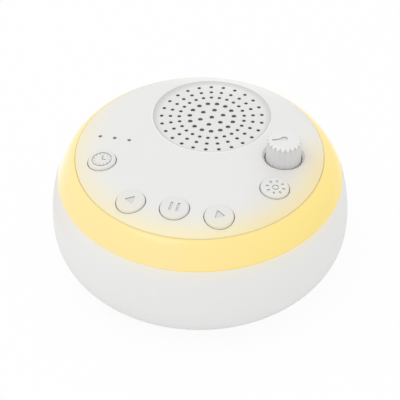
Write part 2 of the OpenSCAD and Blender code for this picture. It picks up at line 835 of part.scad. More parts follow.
// Board outline: a disc less the speaker's bay and the rear
module control_outline() {
    speaker_bay_r = ear_ring_r + ear_r + 0.9;
    rear_y = 11;
    difference() {
        circle(r = control_r);
        translate([0, grille_y]) circle(r = speaker_bay_r);
        translate([-body_r, rear_y]) square([body_d, body_r]);
        for (p = POSTS) translate(p) circle(r = boss_r + 0.5);
        for (p = BOARD_BOSSES) translate(p) circle(r = board_hole_r, $fn = 32);
    }
}

module control_board() {
    color("seagreen") translate([0, 0, control_under_z]) linear_extrude(board_t) control_outline();
}

module control_board_screws() {
    color("silver") for (p = BOARD_BOSSES) at(p)
        screw_up(board_head_r, board_head_t, board_screw_r, board_screw_len, control_under_z, $fn = 32);
}

// Box that hangs centred below a face at height z
module hung_box(p, size, z) {
    at(p, z - size[2]) translate([-size[0] / 2, -size[1] / 2, 0]) cube(size);
}

main_chip_at = [0, -21];
main_chip_size = [10, 6, 1.6];
amp_chip_at = light_at + [-1, -7.3];
led_chip_at = timer_at + [0.8, -3.4];
small_chip_size = [5, 4, 1.5];

// Chips on the board's lower face
module audio_chips() {
    color("black") {
        hung_box(main_chip_at, main_chip_size, control_under_z);
        hung_box(amp_chip_at, small_chip_size, control_under_z);
        hung_box(led_chip_at, small_chip_size, control_under_z);
    }
}

big_cap_at = [33, -12];
big_cap_r = 3.2;
big_cap_h = 8;
small_cap_at = [-12, -26];
small_cap_r = 2.5;
small_cap_h = 7;

module capacitors() {
    color("midnightblue") {
        at(big_cap_at) rod(big_cap_r, control_under_z - big_cap_h, control_under_z);
        at(small_cap_at) rod(small_cap_r, control_under_z - small_cap_h, control_under_z);
    }
}

// Sockets for the leads, on the lower face of the control board
speaker_socket_at = [0, -13];
light_socket_at = [-33, -6];
power_socket_at = [31, -3];
socket_size = [6, 5, 3.4];

module board_connectors() {
    color("ivory") for (p = [speaker_socket_at, light_socket_at, power_socket_at])
        hung_box(p, socket_size, control_under_z);
}

// ---- light ----

module light_board() {
    color("white") difference() {
        tube(light_board_in, light_board_out, light_seat_z, light_board_top);
        for (a = LIGHT_SCREW_ANGLES) rotate(a) translate([light_screw_ring, 0, 0])
            rod(board_hole_r, light_seat_z - over, light_board_top + over, $fn = 32);
    }
}

module ring_leds() {
    step = 360 / ring_led_count;
    color("lightyellow") for (i = [0:ring_led_count - 1]) rotate((i + 0.5) * step)
        translate([ring_led_r - ring_led_d / 2, -ring_led_w / 2, light_board_top])
            cube([ring_led_d, ring_led_w, ring_led_t]);
}

module light_board_screws() {
    color("silver") for (a = LIGHT_SCREW_ANGLES) rotate(a) translate([light_screw_ring, 0, 0])
        screw_down(board_head_r - 0.2, board_head_t, board_screw_r, light_screw_len, light_board_top,
            $fn = 32);
}

// White wall that keeps the light in the ring
module light_reflector() {
    foot_top = light_board_top + reflector_foot_t;
    color("white") rotate_extrude() polygon([[skirt_in, light_board_top],
        [reflector_foot_r, light_board_top], [reflector_foot_r, foot_top],
        [skirt_in + reflector_t, foot_top], [skirt_in + reflector_t, skirt_z], [skirt_in, skirt_z]]);
}

// ---- speaker ----

module speaker_basket() {
    window_w = 9;
    wall_foot_r = basket_neck_r + 1.2;
    color("darkgray") at([0, grille_y]) difference() {
        rotate_extrude() polygon([[speaker_r, flange_z], [speaker_r, frame_under_z],
            [retainer_in - 0.5, frame_under_z], [wall_foot_r, spider_seat_z - basket_t],
            [basket_neck_r, spider_seat_z - basket_t], [basket_neck_r, basket_floor_z],
            [plate_hole_r + 1.2, basket_floor_z], [plate_hole_r + 1.2, basket_floor_z + basket_t],
            [basket_neck_r - basket_t, basket_floor_z + basket_t], [basket_neck_r - basket_t, spider_seat_z],
            [wall_foot_r - 0.3, spider_seat_z], [retainer_in - 1.4, flange_z]]);
        for (a = [45:90:315]) rotate(a) translate([wall_foot_r + 0.3, -window_w / 2, spider_seat_z + 0.8])
            cube([8, window_w, frame_under_z - spider_seat_z - 2]);
    }
}

module speaker_top_plate() {
    color("gray") at([0, grille_y]) tube(plate_hole_r, plate_r, top_plate_z, basket_floor_z);
}

module speaker_magnet() {
    color("dimgray") at([0, grille_y]) tube(magnet_hole_r, magnet_d / 2, magnet_z, top_plate_z);
}

module speaker_yoke() {
    color("gray") at([0, grille_y]) {
        rod(plate_r, magnet_z - yoke_t, magnet_z);
        rod(pole_r, magnet_z - over, basket_floor_z);
    }
}

module speaker_cone() {
    t = 0.5;
    color("black") at([0, grille_y]) rotate_extrude() polygon([[coil_out + 0.05, cone_neck_z],
        [coil_out + 0.6, cone_neck_z], [cone_rim_r, cone_rim_z - t - 0.2], [cone_rim_r, cone_rim_z - 0.1],
        [cone_rim_r - 0.4, cone_rim_z - 0.1], [coil_out + 0.05, cone_neck_z + 0.9]]);
}

module dust_cap() {
    cap_r = 6;
    cap_rise = 2;
    sphere_r = (cap_r * cap_r + cap_rise * cap_rise) / (2 * cap_rise);
    cap_z = cone_neck_z + 1.1;
    color("black") at([0, grille_y]) difference() {
        intersection() {
            translate([0, 0, cap_z + cap_rise - sphere_r]) sphere(r = sphere_r);
            rod(coil_out, cap_z, cap_z + 5);
        }
        intersection() {
            translate([0, 0, cap_z + cap_rise - sphere_r - 0.5]) sphere(r = sphere_r);
            rod(coil_out, cap_z - 1, cap_z + 5);
        }
    }
}

module voice_coil() {
    color("peru") at([0, grille_y]) tube(coil_in, coil_out, top_plate_z - 2, cone_neck_z + 1);
}

// Half-roll edge of the cone, glued to the frame
module speaker_surround() {
    roll_in = cone_rim_r;
    roll_out = retainer_in - 1.1;
    mid = (roll_in + roll_out) / 2;
    rad = (roll_out - roll_in) / 2;
    color("black") at([0, grille_y]) rotate_extrude() polygon(concat(
        [[speaker_r - 0.3, flange_z], [speaker_r - 0.3, gasket_z], [roll_out, gasket_z]],
        [for (t = [20:20:160]) [mid + rad * cos(t), gasket_z + rad * 0.75 * sin(t)]],
        [[roll_in, gasket_z], [roll_in - 1.6, gasket_z], [roll_in - 1.6, flange_z], [roll_in, flange_z]],
        [for (t = [160:-20:20])
            [mid + (rad - surround_t) * cos(t), flange_z + (rad - surround_t) * 0.75 * sin(t)]],
        [[roll_out, flange_z]]));
}

// Corrugated spider between the coil and the basket's step
module speaker_spider() {
    waves = 3;
    steps = 18;
    inner = coil_out + 0.05;
    flat_r = basket_neck_r - basket_t - 0.2;
    t = 0.35;
    wave = [for (i = [0:steps]) let (u = i / steps)
        [inner + (flat_r - inner) * u, spider_seat_z + 0.25 * (1 - cos(360 * waves * u))]];
    color("goldenrod") at([0, grille_y]) rotate_extrude() polygon(concat(wave,
        [[basket_neck_r, spider_seat_z], [basket_neck_r, spider_seat_z + t]],
        [for (p = turned(wave)) [p[0], p[1] + t]]));
}

// Terminal strip on the basket's neck, which reaches past the magnet so that the leads hang clear of it
terminal_w = 10;
terminal_t = 1.6;
terminal_rear_y = grille_y - basket_neck_r - 0.05;
terminal_front_y = grille_y - magnet_d / 2 - 1.5;

module speaker_terminal() {
    color("saddlebrown") translate([-terminal_w / 2, terminal_front_y, basket_floor_z])
        cube([terminal_w, terminal_rear_y - terminal_front_y, terminal_t]);
}

module speaker_gasket() {
    color("dimgray") at([0, grille_y]) tube(dish_floor_r, speaker_r - 0.1, gasket_z, grille_under_z);
}

module speaker_retainer() {
    color("gainsboro") difference() {
        union() {
            at([0, grille_y]) rod(retainer_out, frame_under_z - retainer_t, frame_under_z);
            for (p = EARS) at(p) rod(ear_r, frame_under_z - retainer_t, frame_under_z);
            for (a = EAR_ANGLES) at([0, grille_y]) rotate(a)
                translate([retainer_out - 1, -ear_neck / 2, frame_under_z - retainer_t])
                    cube([ear_ring_r - retainer_out + 1, ear_neck, retainer_t]);
        }
        at([0, grille_y]) rod(retainer_in, frame_under_z - retainer_t - over, frame_under_z + over);
        for (p = EARS) at(p)
            rod(board_hole_r, frame_under_z - retainer_t - over, frame_under_z + over, $fn = 32);
    }
}

module retainer_screws() {
    color("silver") for (p = EARS) at(p)
        screw_up(board_head_r, board_head_t, board_screw_r, ear_screw_len, frame_under_z - retainer_t,
            $fn = 32);
}

// ---- power ----

module power_board() {
    color("seagreen") difference() {
        translate([-power_board_w / 2, power_board_y0, power_z - board_t])
            cube([power_board_w, power_board_y1 - power_board_y0, board_t]);
        for (p = STANDOFFS) at(p) rod(board_hole_r, power_z - board_t - over, power_z + over, $fn = 32);
    }
}

module power_jack() {
    color("black") difference() {
        union() {
            translate([-jack_body_w / 2, jack_body_back_y, power_z])
                cube([jack_body_w, jack_body_front_y - jack_body_back_y, jack_z + jack_body_w / 2 - power_z]);
            along_jack(jack_nose_d / 2, jack_body_front_y - over, jack_face_y);
        }
        along_jack(jack_bore_d / 2, jack_face_y - jack_bore_len, jack_face_y + over);
    }
}

// Cylinder on the jack's axis between two depths
module along_jack(r, y0, y1) {
    translate([0, y0, jack_z]) rotate([-90, 0, 0]) cylinder(r = r, h = y1 - y0);
}

module jack_contact() {
    color("gold") along_jack(jack_pin_d / 2, jack_face_y - jack_bore_len, jack_face_y - jack_pin_back);
}

module power_board_screws() {
    color("silver") for (p = STANDOFFS) at(p)
        screw_down(board_head_r, board_head_t, board_screw_r, power_z - floor_z - 1, power_z, $fn = 32);
}

// ---- leads ----
lead_gap = 0.1;
lead_top_z = control_under_z - socket_size[2] - lead_gap;
lead_r = 0.6;
lead_pitch = 2;

// Two leads that sag from the speaker's terminal to its socket
module speaker_leads() {
    start_y = terminal_front_y + lead_r + 0.1;
    end_y = speaker_socket_at[1];
    start_z = basket_floor_z - lead_gap;
    sag_z = lead_top_z - 7;
    for (i = [0:1]) color(["red", "black"][i]) {
        x = (i - 0.5) * lead_pitch;
        wire([[x, start_y, start_z], [x, start_y, start_z - 2], [x, start_y - 3, sag_z],
            [x, end_y + 2.4, sag_z + 0.6], [x, end_y, lead_top_z - 3], [x, end_y, lead_top_z]],
            lead_r, [1, 0, 0]);
    }
}

// Two leads from the control board to the light board's inner edge
module light_board_leads() {
    a = 190;
    end_r = light_board_in + 1;
    for (i = [0:1]) color(["white", "black"][i]) {
        y = light_socket_at[1] + (i - 0.5) * lead_pitch;
        x0 = light_socket_at[0];
        x1 = end_r * cos(a);
        seat_z = light_seat_z - lead_gap;
        wire([[x0, y, lead_top_z], [x0, y, lead_top_z - 3], [x0 - 4, y, seat_z - 5],
            [x1, y, seat_z - 2.6], [x1, y, seat_z]], lead_r, [0, 1, 0]);
    }
}

// Two leads from the power board up to the control board, past the inner side of a rear post
module power_leads() {
    by_post = POSTS[2] - [post_r + 2.6, 2];
    start_y = power_board_y1 - 4;
    end_y = power_socket_at[1];
    for (i = [0:1]) color(["red", "black"][i]) {
        start_x = power_board_w / 2 - 4 + i * lead_pitch;
        end_x = power_socket_at[0] + (i - 0.5) * lead_pitch;
        wire([[start_x, start_y, power_z + lead_gap], [start_x, start_y, power_z + 5],
            [start_x + 4, start_y - 8, power_z + 8],
            [by_post[0] + (i - 0.5) * lead_pitch, by_post[1], power_z + 9],
            [end_x - 1, end_y + 8, power_z + 12], [end_x, end_y, lead_top_z - 5],
            [end_x, end_y, lead_top_z]], lead_r, [1, 0, 0]);
    }
}

// ---- fasteners and feet ----

module housing_screws() {
    color("silver") for (p = POSTS) at(p)
        screw_up(screw_head_r, screw_head_t, housing_screw_r, housing_screw_len, post_top_z - land_t,
            $fn = 32);
}

module rubber_feet() {
    bevel = 0.5;
    color("dimgray") for (p = POSTS) at(p) rotate_extrude() polygon([[0, 0], [foot_r - bevel, 0],
        [foot_r, bevel], [foot_r, feet_h + foot_recess], [0, feet_h + foot_recess]]);
}

lower_housing();
light_ring();
top_cover();
volume_knob();
volume_shaft();
volume_potentiometer();
timer_button();
previous_button();
play_pause_button();
next_button();
light_button();
plunger(timer_at);  // timer_plunger
plunger(previous_at);  // previous_plunger
plunger(play_at);  // play_pause_plunger
plunger(next_at);  // next_plunger
plunger(light_at);  // light_plunger
switch_bodies();
indicator_light_pipes();
indicator_leds();
control_board();
control_board_screws();
audio_chips();
capacitors();
board_connectors();
light_board();
ring_leds();
light_board_screws();
light_reflector();
speaker_basket();
speaker_top_plate();
speaker_magnet();
speaker_yoke();
speaker_cone();
dust_cap();
voice_coil();
speaker_surround();
speaker_spider();
speaker_terminal();
speaker_gasket();
speaker_retainer();
retainer_screws();
power_board();
power_jack();
jack_contact();
power_board_screws();
speaker_leads();
light_board_leads();
power_leads();
housing_screws();
rubber_feet();
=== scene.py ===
# %% [markdown]
# # White noise sound machine
#
# A round bedside sound machine: a white bowl, a frosted ring that glows, a domed panel with a grille,
# five keys and a volume knob. The frame comes from the CAD model, in metres, with the front at -Y.
# Lengths below are written in millimetres, because that is how the parts are drawn.

# %% Start
import json
import math

import bmesh
import bpy
from mathutils import Matrix, Vector


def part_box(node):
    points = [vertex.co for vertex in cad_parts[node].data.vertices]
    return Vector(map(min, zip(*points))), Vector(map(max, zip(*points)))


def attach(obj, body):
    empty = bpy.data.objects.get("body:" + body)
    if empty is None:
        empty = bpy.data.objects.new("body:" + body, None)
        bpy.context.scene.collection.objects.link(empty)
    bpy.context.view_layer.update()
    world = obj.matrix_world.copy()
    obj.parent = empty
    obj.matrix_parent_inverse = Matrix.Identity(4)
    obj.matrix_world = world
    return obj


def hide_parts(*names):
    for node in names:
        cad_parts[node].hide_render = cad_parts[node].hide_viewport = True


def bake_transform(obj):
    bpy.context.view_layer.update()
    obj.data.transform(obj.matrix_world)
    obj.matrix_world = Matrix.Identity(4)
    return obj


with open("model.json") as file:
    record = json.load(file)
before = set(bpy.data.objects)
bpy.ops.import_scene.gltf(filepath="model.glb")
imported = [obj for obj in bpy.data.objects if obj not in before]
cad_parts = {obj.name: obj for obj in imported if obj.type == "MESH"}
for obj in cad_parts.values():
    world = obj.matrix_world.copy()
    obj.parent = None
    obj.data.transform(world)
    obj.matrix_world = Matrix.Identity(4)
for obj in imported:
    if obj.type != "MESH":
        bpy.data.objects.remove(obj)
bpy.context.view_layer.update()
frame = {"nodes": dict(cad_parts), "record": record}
NODES = frame["nodes"]
MM = 0.001

# %% [markdown]
# ## Sizes
#
# What the frame can tell is read from it. The two curves of the body are superellipses, so a few numbers
# give every height: that is simpler to keep true than a list of points.

# %% Sizes read from the frame and the shape of the shell
housing_low, housing_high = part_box("lower_housing")
cover_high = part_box("top_cover")[1]
knob_low, knob_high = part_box("volume_knob")
BODY_R = housing_high.x / MM
FOOT_Z = housing_high.z / MM
BASE_Z = housing_low.z / MM
COVER_R = cover_high.x / MM
WIDEST_Z = 17.3
CROWN_H = 30.5
SHOULDER_N = 9.4
SHOULDER_M = 1.65
BELLY_N = 2.5
BASE_R = 38.0
WALL = 2.2
COVER_WALL = 2.0
DISH_Y = 19.2
DISH_FLOOR_R = 20.4
DISH_RIM_R = 22.7
DISH_LIP = 0.35
DISH_Z = 46.47


def shell_z(r, inset=0.0):
    """Height of the shoulder curve at radius r."""
    share = 1 - (r / (BODY_R - inset)) ** SHOULDER_N
    return WIDEST_Z + (CROWN_H - inset) * share ** (1 / SHOULDER_M)


def shell_r(z, inset=0.0):
    """Radius of the shoulder curve at height z."""
    share = 1 - ((z - WIDEST_Z) / (CROWN_H - inset)) ** SHOULDER_M
    return (BODY_R - inset) * share ** (1 / SHOULDER_N)


EDGE_Z = shell_z(COVER_R)
RING_FOOT_R = shell_r(FOOT_Z)
print("edge of the panel at", round(EDGE_Z, 2), "ring foot radius", round(RING_FOOT_R, 2))

# %% [markdown]
# ## The workbench
#
# The mesh helpers turn outlines into solids: by a lathe, by pulling a flat face up, or by one exact
# boolean. The last of them lets a finished piece ride on its body. The shader helpers each give one
# measure or one mix, so a finish below reads as a short recipe.

# %% Mesh helpers
def lathe(points, steps):
    """Spins a closed (r, z) outline in millimetres round Z into one solid with its faces outwards."""
    bm = bmesh.new()
    ring = [bm.verts.new((r * MM, 0, z * MM)) for r, z in points]
    edges = [bm.edges.new((a, b)) for a, b in zip(ring, ring[1:] + ring[:1])]
    bmesh.ops.spin(bm, geom=ring + edges, cent=(0, 0, 0), axis=(0, 0, 1), angle=2 * math.pi,
                   steps=steps, use_merge=True, use_duplicate=False)
    bmesh.ops.remove_doubles(bm, verts=bm.verts, dist=1e-7)
    bmesh.ops.dissolve_degenerate(bm, edges=bm.edges, dist=1e-8)
    bmesh.ops.recalc_face_normals(bm, faces=bm.faces)
    return bm


def pulled(bm, faces, keep=True):
    """Extrudes faces into a closed solid and returns the new vertices. The old faces stay with keep."""
    made = bmesh.ops.extrude_face_region(bm, geom=faces, use_keep_orig=keep)["geom"]
    return [g for g in made if isinstance(g, bmesh.types.BMVert)]


def moved(bm, x, y, z=0.0):
    """Shifts a bmesh by millimetres."""
    bmesh.ops.translate(bm, verts=bm.verts, vec=(x * MM, y * MM, z * MM))
    return bm


def turned(bm, degrees, axis="Z"):
    """Turns a bmesh about an axis through the origin."""
    bmesh.ops.rotate(bm, verts=bm.verts, matrix=Matrix.Rotation(math.radians(degrees), 3, axis))
    return bm


def absorb(bm, other):
    """Adds another bmesh to bm."""
    spare = bpy.data.meshes.new("spare")
    other.to_mesh(spare)
    other.free()
    bm.from_mesh(spare)
    bpy.data.meshes.remove(spare)


def to_object(bm, name, material):
    """Makes an object of a bmesh, with its first material."""
    mesh = bpy.data.meshes.new(name)
    bm.to_mesh(mesh)
    bm.free()
    piece = bpy.data.objects.new(name, mesh)
    bpy.context.scene.collection.objects.link(piece)
    mesh.materials.append(material)
    return piece


def cut(piece, tool, operation="DIFFERENCE"):
    """Applies one exact boolean to the piece and removes the tool."""
    step = piece.modifiers.new("cut", "BOOLEAN")
    step.operation = operation
    step.object = tool
    step.solver = "EXACT"
    step.material_mode = "TRANSFER"
    bpy.context.view_layer.update()
    graph = bpy.context.evaluated_depsgraph_get()
    shaped = bpy.data.meshes.new_from_object(piece.evaluated_get(graph))
    piece.modifiers.clear()
    old, piece.data = piece.data, shaped
    bpy.data.meshes.remove(old)
    bpy.data.objects.remove(tool)
    return piece


def soften(piece, angle=35):
    """Smooth shading that stays sharp at edges steeper than an angle."""
    piece.data.shade_smooth()
    piece.data.set_sharp_from_angle(angle=math.radians(angle))


def finish_piece(piece, body, slot, *nodes, angle=35):
    """Softens the piece, then it rides on its body and replaces its CAD nodes. The slot is not used."""
    soften(piece, angle)
    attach(piece, body)
    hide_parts(*nodes)
    print(piece.name, "faces:", len(piece.data.polygons), "rides on", body)


def arc(cx, cz, radius, start, end, steps):
    """Points on an arc, angles in degrees, for rounding a corner of a profile."""
    turn = [math.radians(start + (end - start) * i / steps) for i in range(steps + 1)]
    return [(cx + radius * math.cos(t), cz + radius * math.sin(t)) for t in turn]


print("a quarter round in three steps:", arc(0, 0, 1, 0, 90, 3))

# %% Shader helpers
def linear(hex_colour):
    """sRGB hex to the linear colour that a shader takes."""
    parts = [int(hex_colour[i:i + 2], 16) / 255 for i in (1, 3, 5)]
    return tuple(p / 12.92 if p <= 0.04045 else ((p + 0.055) / 1.055) ** 2.4 for p in parts) + (1.0,)


def add(tree, kind, links=None, **settings):
    """Adds one node. A setting is an attribute or an input, links gives (node, output) for an input."""
    made = tree.nodes.new(kind)
    for key, value in settings.items():
        if hasattr(made, key):
            setattr(made, key, value)
        else:
            made.inputs[key.replace("_", " ")].default_value = value
    for key, (source, output) in (links or {}).items():
        tree.links.new(source.outputs[output], made.inputs[key])
    return made


def ramp(tree, source, start, end, smooth=True):
    """A value from 0 to 1 between two lengths in millimetres."""
    return add(tree, "ShaderNodeMapRange", {"Value": source}, From_Min=start * MM, From_Max=end * MM,
               interpolation_type="SMOOTHSTEP" if smooth else "LINEAR", clamp=True)


def blend(tree, share, first, second):
    """Mixes two colours. The first is a hex string or an earlier mix, whose colour is its output 2."""
    mix = add(tree, "ShaderNodeMix", {"Factor": (share, 0)}, data_type="RGBA")
    if isinstance(first, str):
        mix.inputs[6].default_value = linear(first)
    else:
        tree.links.new(first.outputs[2], mix.inputs[6])
    mix.inputs[7].default_value = linear(second)
    return mix


def product(tree, first, second):
    """Product of two values."""
    return add(tree, "ShaderNodeMath", {0: (first, 0), 1: (second, 0)}, operation="MULTIPLY")


def place_of(tree):
    """Where a point lies on its object, as X, Y and Z."""
    place = add(tree, "ShaderNodeTexCoord")
    return add(tree, "ShaderNodeSeparateXYZ", {"Vector": (place, "Object")})


def level_from(tree, x=0.0, y=0.0):
    """Level vector to a point from the upright line at x, y (millimetres)."""
    place = add(tree, "ShaderNodeTexCoord")
    away = add(tree, "ShaderNodeVectorMath", {0: (place, "Object")}, operation="SUBTRACT")
    away.inputs[1].default_value = (x * MM, y * MM, 0)
    level = add(tree, "ShaderNodeVectorMath", {0: (away, "Vector")}, operation="MULTIPLY")
    level.inputs[1].default_value = (1, 1, 0)
    return level


def radius_from(tree, x=0.0, y=0.0):
    """Distance of a point from the upright line at x, y (millimetres)."""
    level = level_from(tree, x, y)
    return add(tree, "ShaderNodeVectorMath", {0: (level, "Vector")}, operation="LENGTH")


def repaint(material, share, tone, blend_type="MIX"):
    """Blends the base colour with one more tone, by a share from 0 to 1."""
    tree = material.node_tree
    base = tree.nodes["Principled BSDF"].inputs["Base Color"]
    mix = blend(tree, share, base.links[0].from_node, tone)
    mix.blend_type = blend_type
    tree.links.new(mix.outputs[2], base)


def light_up(material, mix, strength):
    """Lets the surface give off light of its own, in the colour that a mix of colours gives."""
    shader = material.node_tree.nodes["Principled BSDF"]
    material.node_tree.links.new(mix.outputs[2], shader.inputs["Emission Color"])
    shader.inputs["Emission Strength"].default_value = strength


print("shader helpers ready")


# Noise scale of the drift, whose patches are about 11 mm wide
DRIFT_SCALE = 90.0
# How far the gloss drifts either way, and how deep the grain of a mould is in millimetres
GLOSS_DRIFT = 0.03
GRAIN_DEEP = 0.02


def plastic(name, colour, roughness, ior=1.5, grain=0.1, grain_mm=0.3, metallic=0.0, mottle=0.03):
    """A moulded or coated solid: base colour with a faint drift, uneven gloss and a fine surface grain."""
    material = bpy.data.materials.new(name)
    material.use_nodes = True
    tree = material.node_tree
    shader = tree.nodes["Principled BSDF"]
    shader.inputs["IOR"].default_value = ior
    shader.inputs["Metallic"].default_value = metallic
    place = add(tree, "ShaderNodeTexCoord")
    drift = add(tree, "ShaderNodeTexNoise", {"Vector": (place, "Object")},
                Scale=DRIFT_SCALE, Detail=3.0)
    base = linear(colour)
    low = tuple(c * (1 - mottle) for c in base[:3]) + (1.0,)
    tone = add(tree, "ShaderNodeMix", {"Factor": (drift, "Fac")}, data_type="RGBA")
    tone.inputs[6].default_value = low
    tone.inputs[7].default_value = base
    tree.links.new(tone.outputs[2], shader.inputs["Base Color"])
    gloss = add(tree, "ShaderNodeMapRange", {"Value": (drift, "Fac")},
                To_Min=roughness - GLOSS_DRIFT, To_Max=roughness + GLOSS_DRIFT)
    tree.links.new(gloss.outputs["Result"], shader.inputs["Roughness"])
    fine = add(tree, "ShaderNodeTexNoise", {"Vector": (place, "Object")},
               Scale=1 / (grain_mm * MM), Detail=2.0)
    bump = add(tree, "ShaderNodeBump", {"Height": (fine, "Fac")},
               Strength=grain, Distance=GRAIN_DEEP * MM)
    tree.links.new(bump.outputs["Normal"], shader.inputs["Normal"])
    print("finish:", name)
    return material


# %% [markdown]
# ## Finishes of the casing
#
# The bowl and the panel are satin ABS: a fine spark-eroded grain from the mould, no gloss of its own.
# Light leaks from the ring into the thin white walls beside it, so both show a warm band that fades
# with distance from the ring. The band is part of the material and is measured on the object itself:
# by radius on the panel and by height on the bowl.

# %% Satin ABS with the glow that leaks in from the ring
ABS_IOR = 1.53
PC_IOR = 1.585
SATIN_WHITE = "#E6E6E5"
WARM = "#FFEDB4"
# How far the glow reaches into the panel and down the bowl, and how steeply it fades
PANEL_GLOW_W = 13
BOWL_GLOW_H = 6
GLOW_FALL = 1.8
# The glow dies out between these places towards the rear, and grows from the left to the right
GLOW_REAR_Y, GLOW_FRONT_Y = 30, -5
GLOW_LEFT, GLOW_RIGHT = 0.65, 1.35


def plain_satin(name, tone, roughness=0.4, mottle=0.006):
    """ABS from a spark-eroded mould: an even white without a clear reflection."""
    return plastic(name, tone, roughness, ior=ABS_IOR, grain=0.12, grain_mm=0.35, mottle=mottle)


def satin_abs(name, measure, near, far, strength, lit_tone, tone=SATIN_WHITE):
    """White satin ABS with a warm glow that is full at 'near' and gone at 'far' (millimetres)."""
    material = plain_satin(name, tone)
    tree = material.node_tree
    place = place_of(tree)
    source = (radius_from(tree), "Value") if measure == "radius" else (place, "Z")
    share = ramp(tree, source, far, near, smooth=False)
    steep = add(tree, "ShaderNodeMath", {0: (share, "Result")}, operation="POWER")
    steep.inputs[1].default_value = GLOW_FALL
    front = ramp(tree, (place, "Y"), GLOW_REAR_Y, GLOW_FRONT_Y)
    right = add(tree, "ShaderNodeMapRange", {"Value": (place, "X")}, From_Min=-BODY_R * MM,
                From_Max=BODY_R * MM, To_Min=GLOW_LEFT, To_Max=GLOW_RIGHT)
    fall = product(tree, steep, product(tree, front, right))
    light_up(material, blend(tree, fall, "#000000", WARM), strength)
    repaint(material, fall, lit_tone)
    return material


# %% The panel: even satin white, with a painted reflection at the rear, painted warm shade at the front right and painted shade on the dish floor
PANEL_ABS = satin_abs("satin_abs_panel", "radius", COVER_R, COVER_R - PANEL_GLOW_W, 0.06, "#EDE1B4")
tree = PANEL_ABS.node_tree
REAR_REFLECTION_Y = (32, 46)
WARM_SHADE_X = (16, 36)
WARM_SHADE_Y = (16, 2)
FLOOR_SHADE_R = (21, 20)
# Towards the rear the panel pales to a lighter white: a painted reflection, seen at a grazing angle
repaint(PANEL_ABS, ramp(tree, (place_of(tree), "Y"), *REAR_REFLECTION_Y), "#F1F1F0")
# At the front right the panel is darkened and warmed: painted warm shade
place = place_of(tree)
front_right_shade = product(tree, ramp(tree, (place, "X"), *WARM_SHADE_X), ramp(tree, (place, "Y"), *WARM_SHADE_Y))
repaint(PANEL_ABS, front_right_shade, "#FBF8F5", "MULTIPLY")
# Inside the dish the floor is darkened a little: painted shade under the dish's wall
dish_floor_shade = ramp(tree, (radius_from(tree, 0, DISH_Y), "Value"), *FLOOR_SHADE_R)
repaint(PANEL_ABS, dish_floor_shade, "#FBFBFB", "MULTIPLY")

# %% The bowl: the same satin white a little brighter, with a painted warm tint of the ring's light high on its left flank
BOWL_ABS = satin_abs("satin_abs_bowl", "height", FOOT_Z, FOOT_Z - BOWL_GLOW_H, 0.025, "#EEE8D9", "#EBEBEA")
tree = BOWL_ABS.node_tree
RING_LIGHT_FLANK_X = (-30, -50)
RING_LIGHT_BELOW_SEAM = (14, 5)
# High on the left flank the white is warmed and darkened a little: a painted tint of the ring's light
left = ramp(tree, (place_of(tree), "X"), *RING_LIGHT_FLANK_X)
upper = ramp(tree, (place_of(tree), "Z"), *[FOOT_Z - below for below in RING_LIGHT_BELOW_SEAM])
repaint(BOWL_ABS, product(tree, left, upper), "#FBF8F3", "MULTIPLY")

# %% The keys: satin white, a touch darker than the panel, with the panel's glow on the nearest ones
KEY_ABS = satin_abs("satin_abs_key", "radius", COVER_R, COVER_R - PANEL_GLOW_W, 0.05, "#E9E0BE", "#E2E2E1")


# %% Other whites of the casing, with painted shade and painted highlight
def knob_abs(name, colour, roughness, grain=0.05):
    """ABS from a finer mould than the casing's, so the knob has a soft shine."""
    return plastic(name, colour, roughness, ior=ABS_IOR, grain=grain, grain_mm=0.4, mottle=0.006)


def shaded(name, colour, roughness=0.7, grain_mm=0.3):
    """White plastic in a narrow cut: matt, and painted darker, painted shade for the light that doesn't get
    in.
    """
    return plastic(name, colour, roughness, grain_mm=grain_mm)


# The knob's flat top is clean white. Its smooth side is painted darker, painted shade; its teeth are
# painted lighter and a little glossier, a painted highlight; and its flutes are painted darker, the painted
# shade of narrow grooves
KNOB_TOP_ABS = knob_abs("satin_abs_knob_top", "#E6E6E5", 0.34)
KNOB_SIDE_SHADE = knob_abs("shaded_abs_knob_side", "#D9D9D9", 0.3, 0.04)
KNOB_TEETH_HIGHLIGHT = knob_abs("highlit_abs_knob_teeth", "#ECECEB", 0.22, 0.03)
KNOB_FLUTE_SHADE = knob_abs("shaded_abs_knob_flute", "#CCCCCC", 0.4)
# Engraved signs read as thin grey lines: a pale floor between dark walls, both painted shade; the knob's
# pointer has pale painted shade on its walls
SIGN_FLOOR = shaded("shaded_sign_floor", "#DCDCDB", 0.6, 0.2)
SIGN_WALL = shaded("shaded_sign_wall", "#8A8A8A", 0.6, 0.2)
POINTER_WALL = shaded("shaded_pointer_wall", "#CECECE", 0.6, 0.2)
# Gaps read as fine dark outlines round the knob, the indicators and the keys: painted shade on the knob's
# foot, in the indicators' bores and on the keys' guides
GAP_SHADE = shaded("shaded_gap_under_knob", "#5E5E5E")
INDICATOR_SHADE = shaded("shaded_indicator_bore", "#C4C4C4")
GUIDE_SHADE = shaded("shaded_guide_wall", "#A0A0A0")

# %% The ring's upper edge, seen in the seam: pale frosted polycarbonate with less glow than the ring, painted shade, greyer at the rear
RING_LIT_Y = 20.0
RING_DARK_Y = 48.0
SEAM_SHADED_GLOW = plastic("frosted_polycarbonate_shaded_seam", "#F2E9C2", 0.5, ior=PC_IOR)
tree = SEAM_SHADED_GLOW.node_tree
# Towards the rear the colour and the glow fade to grey: painted shade
rear = ramp(tree, (place_of(tree), "Y"), RING_LIT_Y, RING_DARK_Y)
repaint(SEAM_SHADED_GLOW, rear, "#ECEBE8")
light_up(SEAM_SHADED_GLOW, blend(tree, rear, "#FFE9A0", "#8C8C8A"), 0.16)

# %% [markdown]
# ## Frosted ring
#
# The ring is frosted polycarbonate with warm diodes behind it. What the eye sees is a cloudy yellow, deeper
# towards the right. The outer flank to the rear left is painted whiter, a painted reflection, and the very
# rear is painted nearly grey, a painted shade. It gets a pale base colour plus its own light, so it still
# looks lit when the room is dark.

# %% Frosted polycarbonate, lit from behind
RING_REFLECTION_R = (46.5, 53)
REAR_LEFT = (-0.4, 0.92, 0)
RING_REFLECTION_ALONG = (-10, 25)
DEEPER_X = (0, 52)


